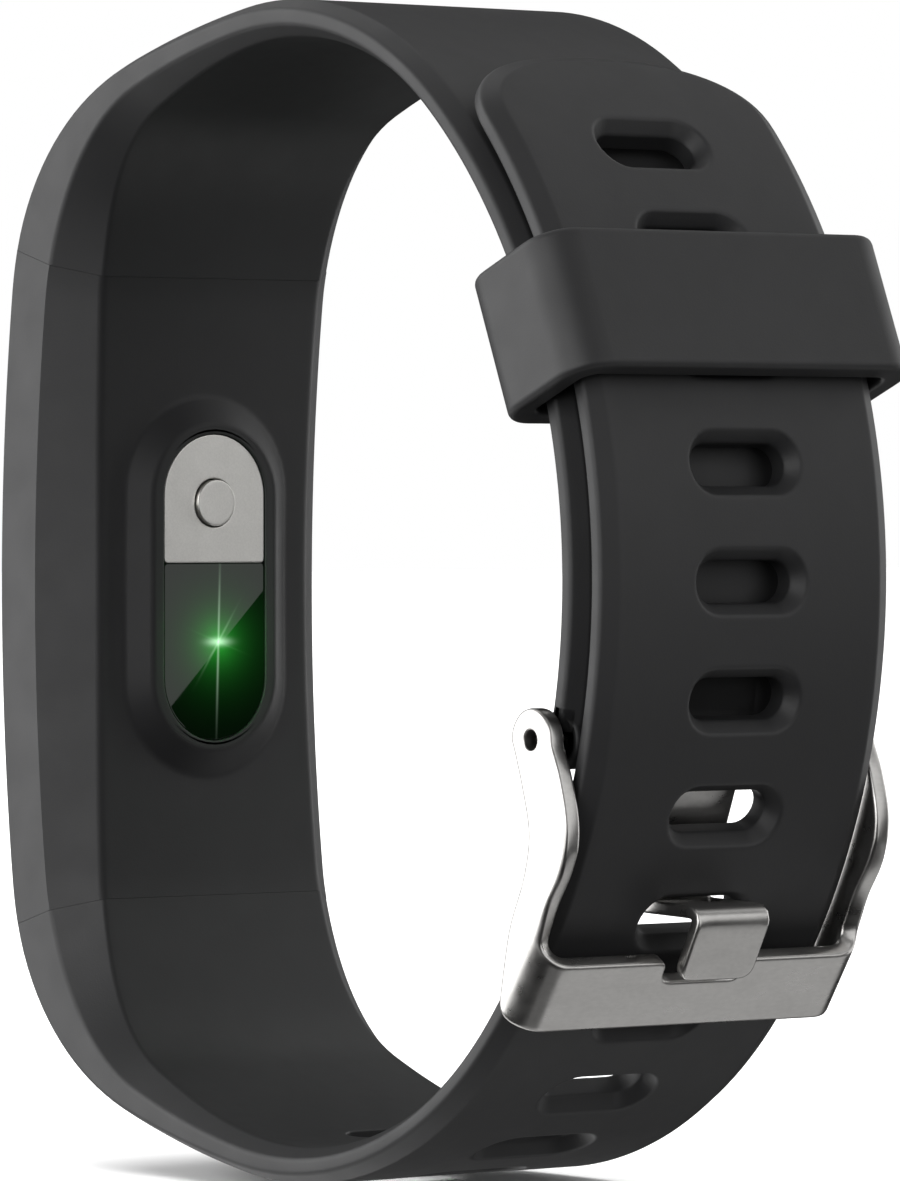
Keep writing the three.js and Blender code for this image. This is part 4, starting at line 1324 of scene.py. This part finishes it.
board_green = moulded("board_resist", (0.012, 0.09, 0.035), 0.4)
chip_black = moulded("chip_resin", (0.012, 0.012, 0.013), 0.45)
foil = steel("cell_foil", (0.6, 0.6, 0.62), 0.35, (1.0, 1.0, 1.0))
gold = steel("contact_gold", (0.85, 0.6, 0.22), 0.25, (1.0, 1.0, 1.0))
seal_grey = rubber("seal_rubber", (0.05, 0.05, 0.055))
led_green = moulded("led_resin", (0.1, 0.8, 0.3), 0.3)
HIDDEN = {
    "cover_seal": seal_grey,
    "display_panel": lens_glass,
    "touch_pad": chip_black,
    "main_board": board_green,
    "main_chip": chip_black,
    "motion_sensor": chip_black,
    "battery": foil,
    "motor_base": bar_steel,
    "motor_cup": bar_steel,
    "motor_weight": bar_steel,
    "sensor_board": board_green,
    "green_led": led_green,
    "photodiode": chip_black,
    "charge_contact_left": gold,
    "charge_contact_right": gold,
}
for node, material in HIDDEN.items():
    keep_node(node, material)

# ---------------------------------------------------------------- stage, light and camera


def floor():
    """A pale floor under the band. It is lit apart from the band and throws no light back at it."""
    mesh = bpy.data.meshes.new("floor")
    corners = [(side_x * FLOOR_REACH, side_y * FLOOR_REACH, FLOOR_LEVEL) for side_x, side_y in FLOOR_CORNERS]
    mesh.from_pydata(corners, [], [(0, 1, 2, 3)])
    obj = add_object("floor", mesh)
    paint = Paint("floor_paint")
    paint.colours(paint.noise(40, 2.0), (0.86, 0.86, 0.86), (0.9, 0.9, 0.9))
    paint.set(Roughness=0.9)
    mesh.materials.append(paint.material)
    obj.visible_diffuse = False
    obj.visible_glossy = False
    obj.visible_shadow = False
    return obj


def softbox(name, place, target, size, radiance):
    """A square light, as bright as radiance wherever it is seen in a reflection."""
    light = bpy.data.lights.new(name, "AREA")
    light.shape = "SQUARE"
    light.size = size
    light.energy = radiance * math.pi * size**2
    obj = add_object(name, light)
    obj.location = place
    obj.rotation_euler = (Vector(target) - Vector(place)).to_track_quat("-Z", "Y").to_euler()
    return obj


def world():
    """A white background for the camera; the studio's lights do all the lighting."""
    scene_world = bpy.data.worlds.new("studio")
    bpy.context.scene.world = scene_world
    scene_world.use_nodes = True
    nodes, links = scene_world.node_tree.nodes, scene_world.node_tree.links
    seen = nodes["Background"]
    seen.inputs["Color"].default_value = (1, 1, 1, 1)
    path = nodes.new("ShaderNodeLightPath")
    links.new(path.outputs["Is Camera Ray"], seen.inputs["Strength"])


def camera():
    """The scene's camera, looking at the frame's origin."""
    data = bpy.data.cameras.new("camera")
    data.sensor_fit = "HORIZONTAL"
    data.sensor_width = 36
    data.lens = LENS_MM
    data.clip_start, data.clip_end = 0.01, 20
    obj = add_object("camera", data)
    direction = around(-CAMERA_TURN, CAMERA_LIFT, 1.0)
    obj.location = direction * CAMERA_DISTANCE
    obj.rotation_euler = (-direction).to_track_quat("-Z", "Y").to_euler()
    bpy.context.scene.camera = obj


def around(turn, lift, reach):
    """The point that lies reach metres away, turned from +X towards +Y and lifted by so many degrees."""
    turn, lift = math.radians(turn), math.radians(lift)
    flat = math.cos(lift)
    return reach * Vector((math.cos(turn) * flat, math.sin(turn) * flat, math.sin(lift)))


def floor_wash(receiver):
    """A wide overhead light that falls on the floor only, so that the floor is as white as the background."""
    light = bpy.data.lights.new("floor_wash", "SUN")
    light.energy = FLOOR_SUN
    light.angle = math.radians(FLOOR_SUN_SPREAD)
    obj = add_object("floor_wash", light)
    lit = bpy.data.collections.new("floor_wash_receiver")
    lit.objects.link(receiver)
    obj.light_linking.receiver_collection = lit


def green_spill():
    """The sensor's light on the bezel round it."""
    light = bpy.data.lights.new("sensor_spill", "POINT")
    light.energy = SPILL_POWER
    light.color = (0.1, 1.0, 0.15)
    light.shadow_soft_size = SPILL_RADIUS
    obj = add_object("sensor_spill", light)
    obj.location = SPILL_PLACE
    obj.visible_camera = False
    obj.visible_glossy = False


def window_card():
    """A light card whose slanted edge is seen in the sensor's glass, from its right to its lower left."""
    face = Vector((GLASS_FRONT, 0.0, 0.0)) * MM
    eye = bpy.context.scene.camera.location
    mirrored_eye = Vector((2 * face.x - eye.x, eye.y, eye.z))
    ends = [Vector((face.x, y * MM, z * MM)) for y, z in CARD_EDGE]
    onward = ((ends[0] + ends[1]) / 2 - mirrored_eye).normalized()
    plane = (ends[0] + ends[1]) / 2 + CARD_AWAY * onward
    marks = []
    for end in ends:
        ray = (end - mirrored_eye).normalized()
        marks.append(end + ray * ((plane - end).dot(onward) / ray.dot(onward)))
    along = (marks[1] - marks[0]).normalized()
    lit_side = onward.cross(along)
    if lit_side.z < 0:
        along, lit_side = -along, -lit_side
    middle = (marks[0] + marks[1]) / 2 + lit_side * CARD_SIZE / 2
    card = softbox("window_card", middle, middle - onward, CARD_SIZE, CARD_RADIANCE)
    card.rotation_euler = Matrix((along, lit_side, onward)).transposed().to_euler()


stage_floor = floor()
world()
camera()
for name, turn, lift, size, radiance in STUDIO:
    softbox(name, around(turn, lift, SOFTBOX_AWAY), (0, 0, 0), size, radiance)
window_card()
floor_wash(stage_floor)
green_spill()

scene = bpy.context.scene
scene.view_settings.view_transform = "Standard"
scene.view_settings.look = "None"
